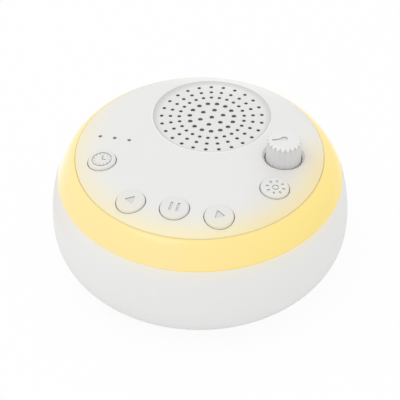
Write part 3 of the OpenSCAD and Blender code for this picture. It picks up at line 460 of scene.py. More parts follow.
def frosted_ring():
    """Deep yellow round the front and right; whiter on the outer flank towards the rear left, a painted
    reflection, and greyer at the rear, a painted shade.
    """
    material = plastic("frosted_polycarbonate_lit", "#E4CB7F", 0.16, ior=PC_IOR, grain=0.05, mottle=0.01)
    tree = material.node_tree
    place = place_of(tree)
    outer = ramp(tree, (radius_from(tree), "Value"), *RING_REFLECTION_R)
    along = add(tree, "ShaderNodeVectorMath", {0: (level_from(tree), "Vector")},
                operation="DOT_PRODUCT")
    along.inputs[1].default_value = REAR_LEFT
    painted_reflection = product(tree, outer, ramp(tree, (along, "Value"), *RING_REFLECTION_ALONG))
    rear = ramp(tree, (place, "Y"), RING_LIT_Y, RING_DARK_Y)
    hue = blend(tree, ramp(tree, (place, "X"), *DEEPER_X, smooth=False), "#FFF2C6", "#FFEC5A")
    # Whiter on the outer flank towards the rear left: a painted reflection
    hue = blend(tree, painted_reflection, hue, "#FFFFFF")
    # Greyer at the rear: painted shade
    hue = blend(tree, rear, hue, "#B9B4A0")
    light_up(material, hue, 0.22)
    repaint(material, painted_reflection, "#F2ECDA")
    repaint(material, rear, "#EDE8D8")
    return material


RING_PC = frosted_ring()

# %% [markdown]
# ## Lower housing
#
# The bowl is turned from one closed outline: outer curve, base, then back up the inner curve. The rim
# gets a tiny round, because a moulded edge is never sharp and the seam to the ring shows as a fine
# line. The recesses for the power jack and the feet are cut afterwards.

# %% Turn the bowl
CURVE_STEPS = 24


def belly(inset, floor):
    """Points from the widest line round to the flat base."""
    reach = BODY_R - inset - BASE_R
    turn = [math.pi / 2 * i / CURVE_STEPS for i in range(1, CURVE_STEPS + 1)]
    return [(BASE_R + reach * abs(math.cos(t)) ** (2 / BELLY_N),
             WIDEST_Z - (WIDEST_Z - floor) * math.sin(t) ** (2 / BELLY_N)) for t in turn]


def shoulder(top, inset=0.0):
    """Points from height top down to the widest line."""
    heights = [top + (WIDEST_Z - top) * i / CURVE_STEPS for i in range(CURVE_STEPS + 1)]
    return [(shell_r(z, inset), z) for z in heights]


SEAM_ROUND = 0.22
FLOOR_T = 2.4
FLOOR_Z = BASE_Z + FLOOR_T
rim_in = shell_r(FOOT_Z, WALL)
outline = [(rim_in, FOOT_Z), (RING_FOOT_R - SEAM_ROUND, FOOT_Z)]
outline += arc(RING_FOOT_R - SEAM_ROUND, FOOT_Z - SEAM_ROUND, SEAM_ROUND, 70, 20, 3)
outline += shoulder(FOOT_Z - SEAM_ROUND * 1.3) + belly(0, BASE_Z) + [(0, BASE_Z), (0, FLOOR_Z)]
outline += list(reversed(belly(WALL, FLOOR_Z))) + list(reversed(shoulder(FOOT_Z, inset=WALL)))[:-1]
bowl = to_object(lathe(outline, 256), "bowl", BOWL_ABS)
print("bowl outline:", len(outline), "points, blank:", len(bowl.data.polygons), "faces")

# %% Cut the jack's recess
contact_low, contact_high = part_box("jack_contact")
JACK_Z = (contact_low.z + contact_high.z) / 2 / MM
JACK_FACE_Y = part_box("power_jack")[1].y / MM
NOSE_R = 4.0
NOSE_GAP = 0.1
JACK_DEPTH = 8
JACK_LIP = 0.3
DIMPLE_R = NOSE_R + 1.2
DIMPLE_SOFT = 0.2
CUT_PAST = 6
bore_r = NOSE_R + NOSE_GAP
jack_outline = [(0, -JACK_DEPTH), (bore_r, -JACK_DEPTH), (bore_r, -JACK_LIP)]
jack_outline += arc(bore_r + JACK_LIP, -JACK_LIP, JACK_LIP, 180, 90, 4)
jack_outline += [(DIMPLE_R - DIMPLE_SOFT, 0), (DIMPLE_R, DIMPLE_SOFT), (DIMPLE_R, CUT_PAST), (0, CUT_PAST)]
jack_cut = moved(turned(lathe(jack_outline, 64), -90, "X"), 0, JACK_FACE_Y, JACK_Z)
cut(bowl, to_object(jack_cut, "jack_cut", BOWL_ABS))
print("jack recess at height", round(JACK_Z, 2))

# %% Cut the recesses for the feet
FOOT_R = 5.6
FOOT_GAP = 0.15
FOOT_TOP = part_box("rubber_feet")[1].z / MM
POSTS = [(24, -27.6), (-24, -27.6), (30, 21), (-30, 21)]
RECESS_R = FOOT_R + FOOT_GAP
recesses = bmesh.new()
for x, y in POSTS:
    recess = [(0, BASE_Z - 1), (RECESS_R, BASE_Z - 1), (RECESS_R, FOOT_TOP), (0, FOOT_TOP)]
    absorb(recesses, moved(lathe(recess, 64), x, y))
cut(bowl, to_object(recesses, "recesses", BOWL_ABS))
finish_piece(bowl, "housing", "housing_white", "lower_housing")

# %% [markdown]
# ## Light ring
#
# The ring is a band with a ledge that runs under the panel and a tongue that plugs into the bowl.
# The outline follows the same shoulder curve as the bowl and the panel, so the three read as one form.

# %% Turn the ring
SEAM = 0.25
SKIRT_R = 44.4
EDGE_T = 2.2
LEDGE_T = 1.2
TONGUE_T = 1.4
TONGUE_H = 2.4
FIT = 0.2
FACE_STEPS = 20
INNER_STEPS = 10
top_r = COVER_R + SEAM
ring_outline = arc(top_r + SEAM_ROUND, shell_z(top_r) - SEAM_ROUND * 1.1, SEAM_ROUND, 170, 80, 4)
face_radii = [top_r + (RING_FOOT_R - top_r) * i / FACE_STEPS for i in range(1, FACE_STEPS)]
ring_outline += [(r, shell_z(r)) for r in face_radii]
ring_outline += [(RING_FOOT_R - 0.03, FOOT_Z + 0.2), (RING_FOOT_R - SEAM_ROUND, FOOT_Z)]
tongue_out = rim_in - FIT
tongue_in = tongue_out - TONGUE_T
tongue_z = FOOT_Z - TONGUE_H
ring_outline += [(tongue_out, FOOT_Z), (tongue_out, tongue_z), (tongue_in, tongue_z)]
ledge_top = EDGE_Z - EDGE_T
ledge_z = ledge_top - LEDGE_T
inner_end = shell_r(ledge_z, WALL)
inner_radii = [tongue_in + (inner_end - tongue_in) * i / INNER_STEPS for i in range(INNER_STEPS + 1)]
ring_outline += [(r, shell_z(r, WALL)) for r in inner_radii]
ring_outline += [(SKIRT_R + FIT, ledge_z), (SKIRT_R + FIT, ledge_top), (top_r, ledge_top)]
ring = to_object(lathe(ring_outline, 256), "frosted_ring", RING_PC)
ring.data.materials.append(SEAM_SHADED_GLOW)
# The ring's faces inside the seam take the paler copy with less glow: painted shade of the seam
for face in ring.data.polygons:
    inward = face.center.xy.length < (top_r + 0.08) * MM
    face.material_index = 1 if inward and face.center.z > ledge_top * MM else 0
finish_piece(ring, "housing", "ring_frosted", "light_ring")

# %% [markdown]
# ## Top panel
#
# The panel is a dome with a flat-bottomed dish for the grille. A lathe can't make it, because the dish
# sits off the axis. So a disc is grown ring by ring: first round the dish, then with the rings' centre
# sliding to the body's axis, so that the last ring is the panel's edge. Every vertex then takes its
# height from one formula, and the disc is thickened downwards.

# %% Height of the panel at any place
DISH_POWER = 1.7


def slope(t):
    """Rise from 0 to 1 that grows steeper outwards and ends in a crisp rim."""
    return min(max(t, 0.0), 1.0) ** DISH_POWER


def panel_z(x, y):
    """Height of the panel's face, with the dish blended into the dome."""
    dome = shell_z(min(math.hypot(x, y), COVER_R))
    share = slope((math.hypot(x, y - DISH_Y) - DISH_FLOOR_R) / (DISH_RIM_R - DISH_FLOOR_R))
    return DISH_Z + (dome - DISH_Z) * share


print("dish", round(panel_z(0, DISH_Y + DISH_RIM_R) - DISH_Z, 2), "mm deep at the rear")

# %% Finishes of the grille's holes, the dish's wall and lip, and the knob's well, with painted shade, light and highlight
PALER_BELOW_DISH = (0.85, 1.5)


def bore_wall():
    """Wall of a grille hole: dark under its mouth, painted shade, and paler below with a faint glow,
    painted light from inside.
    """
    material = shaded("painted_shade_and_glow_bore_wall", "#787878")
    tree = material.node_tree
    depth = ramp(tree, (place_of(tree), "Z"), *[DISH_Z - below for below in PALER_BELOW_DISH])
    repaint(material, depth, "#D8D8D8")
    light_up(material, blend(tree, depth, "#000000", "#FFFAF0"), 0.14)
    return material


def dish_wall_abs():
    """The panel's white, a little greyer, and greyer still towards the rim: painted shade, where the wall
    is steep and sees less sky.
    """
    material = plain_satin("shaded_abs_dish_wall", "#E1E1E0")
    tree = material.node_tree
    reach = (radius_from(tree, 0, DISH_Y), "Value")
    repaint(material, ramp(tree, reach, DISH_FLOOR_R, DISH_RIM_R, smooth=False), "#CBCBCB")
    return material


# The lip is a lighter white than the panel, a painted highlight on its edge, and a little less rough; only
# its front half takes it
DISH_LIP_HIGHLIGHT = plain_satin("highlit_abs_dish_lip", "#F6F6F5", 0.36, mottle=0.02)
# The well is the panel's white, a little more matt, because polish doesn't reach into it
WELL_ABS = plain_satin("satin_abs_well", "#E6E6E5", 0.5)
BORE_SHADE_AND_GLOW = bore_wall()
DISH_WALL_SHADE = dish_wall_abs()


# %% Grow the disc ring by ring
def grow_ring(bm, edges, centre_y, radius):
    """Extrudes a loop of edges and sets it on a circle. It keeps the centre of the loop before."""
    made = bmesh.ops.extrude_edge_only(bm, edges=edges)["geom"]
    verts = [g for g in made if isinstance(g, bmesh.types.BMVert)]
    for v in verts:
        away = Vector((v.co.x, v.co.y - grow_ring.centre, 0)).normalized()
        v.co = Vector((away.x * radius * MM, centre_y * MM + away.y * radius * MM, 0))
    grow_ring.centre = centre_y * MM
    return [g for g in made if isinstance(g, bmesh.types.BMEdge)]


DISC_START_R = 1.5
DISC_SEGMENTS = 224
WALL_STEPS = 12
SLIDE_STEPS = 34
RIM = 0.3


def panel_disc():
    """The panel's upper face: rings round the dish first, then rings that slide to the body's axis."""
    bm = bmesh.new()
    bmesh.ops.create_circle(bm, cap_ends=True, cap_tris=True, segments=DISC_SEGMENTS,
                            radius=DISC_START_R * MM)
    moved(bm, 0, DISH_Y)
    grow_ring.centre = DISH_Y * MM
    edges = [e for e in bm.edges if e.is_boundary]
    floor_radii = [4, 8, 12, 16, 19, DISH_FLOOR_R]
    wall_w = DISH_RIM_R - DISH_FLOOR_R
    wall_radii = [DISH_FLOOR_R + wall_w * i / WALL_STEPS for i in range(1, WALL_STEPS + 1)]
    for radius in floor_radii + wall_radii:
        edges = grow_ring(bm, edges, DISH_Y, radius)
    edges = grow_ring(bm, edges, DISH_Y, DISH_RIM_R + DISH_LIP)
    for i in range(1, SLIDE_STEPS + 1):
        t = i / SLIDE_STEPS
        edges = grow_ring(bm, edges, DISH_Y * (1 - t), DISH_RIM_R + (COVER_R - RIM - DISH_RIM_R) * t)
    for v in bm.verts:
        v.co.z = panel_z(v.co.x / MM, v.co.y / MM) * MM
    for turn in (30, 60, 90):
        angle = math.radians(turn)
        edges = grow_ring(bm, edges, 0, COVER_R - RIM + RIM * math.sin(angle))
        height = shell_z(COVER_R - RIM) - RIM * 0.5 * (1 - math.cos(angle)) - RIM * 0.5 * turn / 90
        for v in {v for e in edges for v in e.verts}:
            v.co.z = height * MM
    return bm


bm = panel_disc()
bmesh.ops.translate(bm, verts=pulled(bm, list(bm.faces)), vec=(0, 0, -COVER_WALL * MM))
bmesh.ops.recalc_face_normals(bm, faces=bm.faces)
panel = to_object(bm, "panel", PANEL_ABS)
print("panel blank:", len(panel.data.polygons), "faces")

# %% [markdown]
# The knob stands in a well and each key runs in a guide, so a cup and five tubes are joined to the
# panel from below before anything is cut.

# %% Join the well and the key guides
KEYS = ("timer", "previous", "play_pause", "next", "light")


def middle(node):
    """Where the middle of a node lies, seen from above."""
    low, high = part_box(node)
    return (low.x + high.x) / 2 / MM, (low.y + high.y) / 2 / MM


KEY_AT = {key: middle(key + "_plunger") for key in KEYS}
KNOB_AT = middle("volume_knob")
KEY_R = 5.12
KEY_GAP = 0.24
GUIDE_Z = 42.1
GUIDE_WALL = 0.9
WELL_R = 7.8
WELL_SUNK = 0.8
WELL_Z = knob_low.z / MM - 0.4
WELL_FLOOR = 1.5
WELL_WALL = 1.2
WELL_FROM_AXIS = 31
under = bmesh.new()
guide_out = KEY_R + KEY_GAP + GUIDE_WALL
for x, y in KEY_AT.values():
    top = shell_z(math.hypot(x, y)) - 1.2
    guide = [(KEY_R - 1, GUIDE_Z), (guide_out, GUIDE_Z), (guide_out, top), (KEY_R - 1, top)]
    absorb(under, moved(lathe(guide, 64), x, y))
cup_out, cup_z, cup_top = WELL_R + WELL_WALL, WELL_Z - WELL_FLOOR, shell_z(WELL_FROM_AXIS) - 1.0
cup = [(0, cup_z), (cup_out, cup_z), (cup_out, cup_top), (0, cup_top)]
absorb(under, moved(lathe(cup, 64), *KNOB_AT))
cut(panel, to_object(under, "under", PANEL_ABS), "UNION")
print("well and", len(KEY_AT), "guides joined:", len(panel.data.polygons), "faces")

# %% [markdown]
# Each opening is cut with a plug whose top flares like a trumpet, so the cut leaves the small round that
# a moulded hole has. The plug's top is bent to the dome's height first, and so the round stays even.

# %% Plugs for the openings
PLUG_UP = 3
BENT_H = 1.5


def plug(x, y, radius, low, lip, segments, follow=True, bore=1, sunk=0.0):
    """Plug for a hole of a radius from height low up through the face, with a flared lip.

    The lip keeps the panel's finish and the bore below it takes the material numbered bore. With sunk,
    the bore is narrower by that much and opens in a cone as deep as it is wide.
    """
    face_z = panel_z(x, y)
    points = [(0, low), (radius - sunk, low), (radius - sunk, face_z - lip - sunk), (radius, face_z - lip)]
    if not sunk:
        points.pop()
    for t in (25, 50, 75):
        angle = math.radians(t)
        points.append((radius + lip - lip * math.cos(angle), face_z - lip + 0.01 + lip * math.sin(angle)))
    points += [(radius + lip, face_z + PLUG_UP), (0, face_z + PLUG_UP)]
    bm = moved(lathe(points, segments), x, y)
    for face in bm.faces:
        face.material_index = bore if face.calc_center_median().z < (face_z - lip) * MM else 0
    if follow:
        for v in bm.verts:
            if v.co.z > (face_z - BENT_H) * MM:
                v.co.z += (panel_z(v.co.x / MM, v.co.y / MM) - face_z) * MM
    return bm


print("plugs reach", PLUG_UP, "mm above the face")

# %% Cut the openings
BIG_R = 0.9
SMALL_R = 0.7
# How many holes each ring of the grille has, its radius and the radius of its holes
GRILLE_RINGS = [(1, 0.0, BIG_R), (6, 4.54, BIG_R), (15, 8.55, BIG_R),
                (25, 12.52, SMALL_R), (25, 15.93, SMALL_R), (25, 19.33, SMALL_R)]
INDICATOR_X, INDICATOR_Y, INDICATOR_PITCH = -31.8, -3.1, 5.65
INDICATOR_AT = [(INDICATOR_X + i * INDICATOR_PITCH, INDICATOR_Y) for i in (-1, 0, 1)]
INDICATOR_R = 0.72
GRILLE_LIP, KEY_LIP, FINE_LIP = 0.24, 0.14, 0.12
PLUG_DOWN = 4
SHAFT_HOLE_R = 3.5
plugs = bmesh.new()
holes = 0
for count, ring_r, hole_r in GRILLE_RINGS:
    for i in range(count):
        turn = math.radians(90 + 360 * i / count)
        x, y = ring_r * math.cos(turn), DISH_Y + ring_r * math.sin(turn)
        absorb(plugs, plug(x, y, hole_r, DISH_Z - PLUG_DOWN, GRILLE_LIP, 20, follow=False))
        holes += 1
for x, y in INDICATOR_AT:
    absorb(plugs, plug(x, y, INDICATOR_R, EDGE_Z - PLUG_DOWN, FINE_LIP, 24, bore=3))
for x, y in KEY_AT.values():
    absorb(plugs, plug(x, y, KEY_R + KEY_GAP, GUIDE_Z - 1, KEY_LIP, 72, bore=2))
absorb(plugs, plug(*KNOB_AT, WELL_R, WELL_Z, FINE_LIP, 96, bore=0, sunk=WELL_SUNK))
plug_object = to_object(plugs, "plugs", PANEL_ABS)
# The bores of the grille, the keys and the indicators take painted shade, the grille's bores with painted
# light deeper down
for finish in (BORE_SHADE_AND_GLOW, GUIDE_SHADE, INDICATOR_SHADE):
    plug_object.data.materials.append(finish)
cut(panel, plug_object)
low, high = WELL_Z - 3, WELL_Z + 1
shaft_hole = lathe([(0, low), (SHAFT_HOLE_R, low), (SHAFT_HOLE_R, high), (0, high)], 48)
cut(panel, to_object(moved(shaft_hole, *KNOB_AT), "shaft_hole", PANEL_ABS))
print("grille holes:", holes)

# %% Give the lip its painted highlight, the dish's wall its painted shade and the well its finish
UPWARD = 0.3
for finish in (DISH_LIP_HIGHLIGHT, DISH_WALL_SHADE, WELL_ABS):
    panel.data.materials.append(finish)
lip_highlight_slot, wall_shade_slot, well_slot = range(len(panel.data.materials) - 3, len(panel.data.materials))
for face in panel.data.polygons:
    x, y, z = face.center / MM
    from_dish = math.hypot(x, y - DISH_Y)
    from_knob = math.hypot(x - KNOB_AT[0], y - KNOB_AT[1])
    if face.normal.z > UPWARD and DISH_FLOOR_R < from_dish < DISH_RIM_R and z > DISH_Z - 0.05:
        face.material_index = wall_shade_slot
    if face.normal.z > UPWARD and DISH_RIM_R < from_dish < DISH_RIM_R + DISH_LIP and y < DISH_Y:
        face.material_index = lip_highlight_slot
    if from_knob < WELL_R + 0.05 and z > WELL_Z - 0.1:
        face.material_index = well_slot
finish_piece(panel, "housing", "cover_white", "top_cover", angle=30)

# %% [markdown]
# ## Keys
#
# A key cap is a short cylinder whose top follows the dome a little above the panel, with a soft round
# at its edge. The disc is grown ring by ring again, and its height comes from the panel's formula plus
# the rise, less the round. The sign is cut into the top.

# %% Outlines of the signs, as small prisms
SIGN_DEPTH = 0.26
HALF_H = 3
CLOCK_R, MARK_R, HAND_W = 3.5, 2.75, 0.36
LAMP_R, RAY_R = 1.05, 2.95
PAUSE_X, PAUSE_W, PAUSE_H = 1.25, 0.95, 4.1
ARROW_SIDE = 3.9
CORNER_SOFT = 0.25


def shade_walls(bm):
    """Gives the upright faces of a sign's cutter the second material, the one for the walls, painted shade.
    """
    for face in bm.faces:
        face.material_index = 1 if abs(face.normal.z) < 0.5 else 0


def prism(points):
    """A prism over a flat outline in millimetres, as far below z = 0 as above it."""
    bm = bmesh.new()
    base = bm.faces.new([bm.verts.new((x * MM, y * MM, -HALF_H * MM)) for x, y in points])
    top = pulled(bm, [base], keep=False)
    bmesh.ops.translate(bm, verts=top, vec=(0, 0, 2 * HALF_H * MM))
    bmesh.ops.recalc_face_normals(bm, faces=bm.faces)
    return bm


def bar(x, y, width, length, turn=0.0):
    """A rounded bar, centred at x, y and turned by an angle in degrees."""
    half = (length - width) / 2
    ends = arc(0, half, width / 2, 0, 180, 6) + arc(0, -half, width / 2, 180, 360, 6)
    return moved(turned(prism(ends), turn), x, y)


def triangle(side, turn):
    """A triangle with softened corners, one of which points the way of turn in degrees."""
    reach = side / math.sqrt(3) - 2 * CORNER_SOFT
    points = []
    for corner in (0, 120, 240):
        cx = reach * math.cos(math.radians(corner))
        cy = reach * math.sin(math.radians(corner))
        points += arc(cx, cy, CORNER_SOFT, corner - 60, corner + 60, 4)
    return turned(prism(points), turn)


def hoop(radius, line, segments):
    """A thin ring with a line of that width."""
    near, far = radius - line / 2, radius + line / 2
    return lathe([(near, -HALF_H), (far, -HALF_H), (far, HALF_H), (near, HALF_H)], segments)


def spokes(bm, count, reach, width, length):
    """Adds short bars round the middle, each of which points outwards."""
    for i in range(count):
        turn = 360 / count * i
        angle = math.radians(turn)
        absorb(bm, bar(reach * math.cos(angle), reach * math.sin(angle), width, length, turn - 90))


def clock():
    """A clock face with twelve marks and two hands, at three o'clock."""
    bm = hoop(CLOCK_R, 0.34, 64)
    spokes(bm, 12, MARK_R, 0.24, 0.5)
    absorb(bm, bar(0, 0.9, HAND_W, 2.2))
    absorb(bm, bar(0.86, 0, HAND_W, 1.35, 90))
    return bm


def lamp():
    """A small round lamp with eight broad rays."""
    bm = hoop(LAMP_R, 0.32, 32)
    spokes(bm, 8, RAY_R, 0.8, 1.2)
    return bm


def bars():
    """Two upright bars."""
    bm = bar(-PAUSE_X, 0, PAUSE_W, PAUSE_H)
    absorb(bm, bar(PAUSE_X, 0, PAUSE_W, PAUSE_H))
    return bm


SIGN_SHIFT = {"light": (0.3, -0.35)}
SIGNS = {"timer": clock, "previous": lambda: triangle(ARROW_SIDE, 180), "play_pause": bars,
         "next": lambda: triangle(ARROW_SIDE, 0), "light": lamp}
print("signs:", ", ".join(SIGNS))

# %% Model the five caps
KEY_RISE = 0.9
KEY_ROUND = 0.8
ROUND_R = KEY_R - KEY_ROUND


def cap_height(x, y, cx, cy):
    """Height of a cap's face at x, y, its edge rounded off."""
    over = max(0.0, math.hypot(x - cx, y - cy) - ROUND_R)
    drop = KEY_ROUND - math.sqrt(max(0.0, KEY_ROUND ** 2 - min(over, KEY_ROUND) ** 2))
    return shell_z(math.hypot(x, y)) + KEY_RISE - drop


def key_cap(name, cx, cy):
    """A cap on its place, with its sign cut into the top."""
    bm = bmesh.new()
    bmesh.ops.create_circle(bm, cap_ends=True, cap_tris=True, segments=96, radius=0.5 * MM)
    edges = [e for e in bm.edges if e.is_boundary]
    radii = [1.2, 2, 2.8, 3.6, ROUND_R]
    radii += [ROUND_R + KEY_ROUND * math.sin(math.radians(t)) for t in (15, 30, 45, 60, 72, 82, 90)]
    grow_ring.centre = 0.0
    for radius in radii:
        edges = grow_ring(bm, edges, 0, radius)
    moved(bm, cx, cy)
    for v in bm.verts:
        v.co.z = cap_height(v.co.x / MM, v.co.y / MM, cx, cy) * MM
    for v in pulled(bm, list(bm.faces)):
        v.co.z = (GUIDE_Z - 0.1) * MM
    bmesh.ops.recalc_face_normals(bm, faces=bm.faces)
    cap = to_object(bm, name + "_cap", KEY_ABS)
    shift_x, shift_y = SIGN_SHIFT.get(name, (0, 0))
    sign = moved(SIGNS[name](), cx + shift_x, cy + shift_y)
    for v in sign.verts:
        face = cap_height(v.co.x / MM, v.co.y / MM, cx, cy)
        v.co.z = (face - SIGN_DEPTH if v.co.z < 0 else face + 1) * MM
    shade_walls(sign)
    tool = to_object(sign, name + "_sign", SIGN_FLOOR)
    tool.data.materials.append(SIGN_WALL)
    return cut(cap, tool)


for key, (cx, cy) in KEY_AT.items():
    finish_piece(key_cap(key, cx, cy), key + "_key", "key_white", key + "_button", angle=40)

# %% [markdown]
# ## Volume knob
#
# The knob is turned with a broad bevel at its top edge. Twenty V-grooves are then cut round that edge.
# They are deepest at the top and run out down the side, so the bevel is left as a crown of small teeth
# that point down. Neighbouring cutters overlap outside the knob, so every second one is cut first.

# %% Turn the knob
KNOB_Z = knob_low.z / MM
KNOB_TOP = knob_high.z / MM
KNOB_FOOT_R = 6.6
KNOB_TOP_R = 6.1
KNOB_BEVEL = 0.9
EDGE_SOFT = 0.12
FLUTES = 20
FLUTE_DEPTH = 0.8
FLUTE_LEN = 1.8
FLUTE_HALF = 0.6 * 2 * math.pi * KNOB_TOP_R / FLUTES
POINTER_TURN = 23
KNOB_BORE_R = 3.2
KNOB_ROOF = 2.2
FOOT_SOFT = 0.3
bevel_foot = KNOB_TOP - KNOB_BEVEL
flat_r = KNOB_TOP_R - KNOB_BEVEL
knob_outline = [(KNOB_BORE_R, KNOB_Z), (KNOB_FOOT_R - FOOT_SOFT, KNOB_Z), (KNOB_FOOT_R, KNOB_Z + FOOT_SOFT)]
knob_outline += [(KNOB_TOP_R + 0.01, bevel_foot - EDGE_SOFT), (KNOB_TOP_R - 0.03, bevel_foot - 0.02),
                 (KNOB_TOP_R - EDGE_SOFT, bevel_foot + EDGE_SOFT)]
knob_outline += [(flat_r + EDGE_SOFT, KNOB_TOP - EDGE_SOFT), (flat_r + 0.02, KNOB_TOP - 0.03),
                 (flat_r - EDGE_SOFT, KNOB_TOP)]
knob_outline += [(0, KNOB_TOP), (0, KNOB_TOP - KNOB_ROOF), (KNOB_BORE_R, KNOB_TOP - KNOB_ROOF)]
knob = to_object(lathe(knob_outline, 240), "fluted_knob", KNOB_SIDE_SHADE)
for finish in (KNOB_TOP_ABS, KNOB_TEETH_HIGHLIGHT, GAP_SHADE):
    knob.data.materials.append(finish)
# The top keeps the plain white, the bevel's teeth the painted highlight and the foot's round the dark
# painted shade of the slit under the knob; the side keeps its painted shade
for face in knob.data.polygons:
    if face.normal.z > 0.95:
        face.material_index = 1
    elif face.normal.z > 0.3:
        face.material_index = 2
    elif face.center.z < (KNOB_Z + FOOT_SOFT) * MM:
        face.material_index = 3
print("knob blank:", len(knob.data.polygons), "faces")

# %% Cut the flutes
def flute(turn):
    """A V-shaped cutter that leans outwards going down, turned to an angle in degrees."""
    bm = prism([(0, 0), (2 * FLUTE_DEPTH, -2 * FLUTE_HALF), (2 * FLUTE_DEPTH, 2 * FLUTE_HALF)])
    lean = Matrix.Rotation(-math.atan(FLUTE_DEPTH / FLUTE_LEN), 3, "Y")
    bmesh.ops.rotate(bm, verts=bm.verts, matrix=lean)
    return turned(moved(bm, KNOB_TOP_R - FLUTE_DEPTH, 0, KNOB_TOP), turn)


for first in (0, 1):
    cutters = bmesh.new()
    for i in range(first, FLUTES, 2):
        absorb(cutters, flute(180 + POINTER_TURN + 360 * (i + 0.5) / FLUTES))
    cut(knob, to_object(cutters, "flutes", KNOB_FLUTE_SHADE))
print("flutes:", FLUTES, "knob faces:", len(knob.data.polygons))

# %% Press the pointer into its top
BULB_R, NECK_X, TIP_X, TIP_R = 1.25, -2.0, -4.25, 0.38
POINTER_DEPTH = 0.6
drop = arc(0, 0, BULB_R, -115, 115, 16) + [(NECK_X, TIP_R)]
drop += arc(TIP_X, 0, TIP_R, 90, 270, 6) + [(NECK_X, -TIP_R)]
pointer = prism(drop)
for v in pointer.verts:
    v.co.z = (KNOB_TOP - POINTER_DEPTH if v.co.z < 0 else KNOB_TOP + 1) * MM
shade_walls(pointer)
pointer_tool = to_object(turned(pointer, POINTER_TURN), "pointer", KNOB_TOP_ABS)
pointer_tool.data.materials.append(POINTER_WALL)
cut(knob, pointer_tool)
knob.data.transform(Matrix.Translation((KNOB_AT[0] * MM, KNOB_AT[1] * MM, 0)))
finish_piece(knob, "knob", "knob_white", "volume_knob", angle=28)

# %% [markdown]
# ## Rubber feet
#
# Four feet of soft grey rubber sit in recesses under the bowl. Each is a lathed pad with a rounded
# edge. The rubber is matt and coarse, so it takes no highlight.

# %% Turn the feet
FOOT_RUBBER = plastic("moulded_rubber_foot", "#6E6E70", 0.75, ior=1.52, grain=0.3, mottle=0.06)
PAD_ROUND = 0.6
pads = bmesh.new()
pad = [(0, 0), (FOOT_R - 1.4, 0), (FOOT_R - 1.2, 0.02)]
pad += arc(FOOT_R - PAD_ROUND, PAD_ROUND, PAD_ROUND, -80, 0, 5) + [(FOOT_R, FOOT_TOP), (0, FOOT_TOP)]
for x, y in POSTS:
    absorb(pads, moved(lathe(pad, 64), x, y))
finish_piece(to_object(pads, "rubber_pads", FOOT_RUBBER), "housing", "foot_rubber", "rubber_feet")

# %% [markdown]
# ## Parts inside
#
# The speaker shows through the grille and the jack at the back, and the rest is hidden, but every part
# gets the finish of the real one. The CAD solids already have the right shape, so only their material
# changes. The table gives name, colour, roughness and metallic for each slot: metals are smooth and
# bright, boards and mouldings half matt, paper, foam and cloth dull. They all share one fine grain.

# %% Finishes of the inner parts
INNER = {
    "shaft_metal": ("turned_aluminium", "#C4C5C8", 0.32, 1.0),
    "pot_body": ("moulded_phenolic", "#34353A", 0.5, 0.0),
    "plunger_black": ("moulded_nylon", "#15161A", 0.45, 0.0),
    "switch_body": ("switch_housing", "#25282B", 0.4, 0.0),
    "light_pipe": ("smoked_acrylic", "#A6A8A9", 0.15, 0.0),
    "led_yellow": ("phosphor_diode", "#F2E6A0", 0.3, 0.0),
    "board_green": ("solder_mask_green", "#17563A", 0.35, 0.0),
    "board_white": ("solder_mask_white", "#ECECE8", 0.4, 0.0),
    "screw_steel": ("zinc_plated_steel", "#C9CACD", 0.3, 1.0),
    "chip_black": ("moulded_epoxy", "#17181A", 0.6, 0.0),
    "capacitor_sleeve": ("shrunk_pvc_sleeve", "#1C2248", 0.3, 0.0),
    "socket_ivory": ("moulded_nylon_ivory", "#E6DEC2", 0.45, 0.0),
    "reflector_white": ("moulded_abs_reflector", "#F2F2F0", 0.5, 0.0),
    "basket_steel": ("painted_pressed_steel", "#3C3D40", 0.45, 0.0),
    "plate_steel": ("zinc_plated_plate", "#A9ABAF", 0.35, 1.0),
    "magnet_ferrite": ("sintered_ferrite", "#2A2A2C", 0.7, 0.0),
    "cone_paper": ("pressed_paper_cone", "#1B1B1C", 0.85, 0.0),
    "cap_paper": ("pressed_paper_cap", "#1D1D1E", 0.8, 0.0),
    "coil_copper": ("enamelled_copper", "#B5652E", 0.3, 1.0),
    "surround_rubber": ("moulded_rubber_surround", "#161617", 0.6, 0.0),
    "spider_cloth": ("phenolic_cloth", "#B9943F", 0.8, 0.0),
    "terminal_board": ("phenolic_paper", "#7A4A20", 0.6, 0.0),
    "gasket_foam": ("closed_cell_foam", "#2B2B2C", 0.9, 0.0),
    "retainer_grey": ("moulded_abs_grey", "#CFCFCF", 0.5, 0.0),
    "jack_black": ("moulded_jack", "#141416", 0.4, 0.0),
    "contact_brass": ("turned_brass", "#C9A24A", 0.25, 1.0),
    "lead_sleeve": ("pvc_lead_sleeve", "#8C1C18", 0.4, 0.0),
}
slot_of = {row["node"]: row["material_slot"] for row in frame["record"]["subparts"]}
finishes = {slot: plastic(name, colour, rough, metallic=metal, grain=0.15, mottle=0.08)
            for slot, (name, colour, rough, metal) in INNER.items()}
for node, item in NODES.items():
    if slot_of[node] in finishes:
        item.data.materials.clear()
        item.data.materials.append(finishes[slot_of[node]])
print("inner finishes:", len(finishes))

# %% [markdown]
# ## The rings that hold the cone
#
# The cone hangs in two rings. The outer edge of each stays on the frame and the inner edge moves with
# the cone. Each ring is made of twelve wedges, turned from one outline and set round the speaker's axis.

# %% Surround and spider
WEDGES = 12
WEDGE_STEPS = 5
low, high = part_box("speaker_surround")
SPEAKER = Vector(((low.x + high.x) / 2, (low.y + high.y) / 2, 0))
FLANGE_R = (high.x - low.x) / 2 / MM
FLANGE_Z = low.z / MM
SKIN_T = 0.4
ROLL_IN = 17.2
ROLL_OUT = 19.8
ROLL_SHARE = 0.75
CUFF_W = 1.6
low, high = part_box("speaker_spider")
SPIDER_Z = low.z / MM
SPIDER_OUT = (high.x - low.x) / 2 / MM
SPIDER_FLAT = 12.4
SPIDER_IN = 7.0
SPIDER_T = 0.35
WAVES = 3
WAVE_H = 0.25
WAVE_STEPS = 18


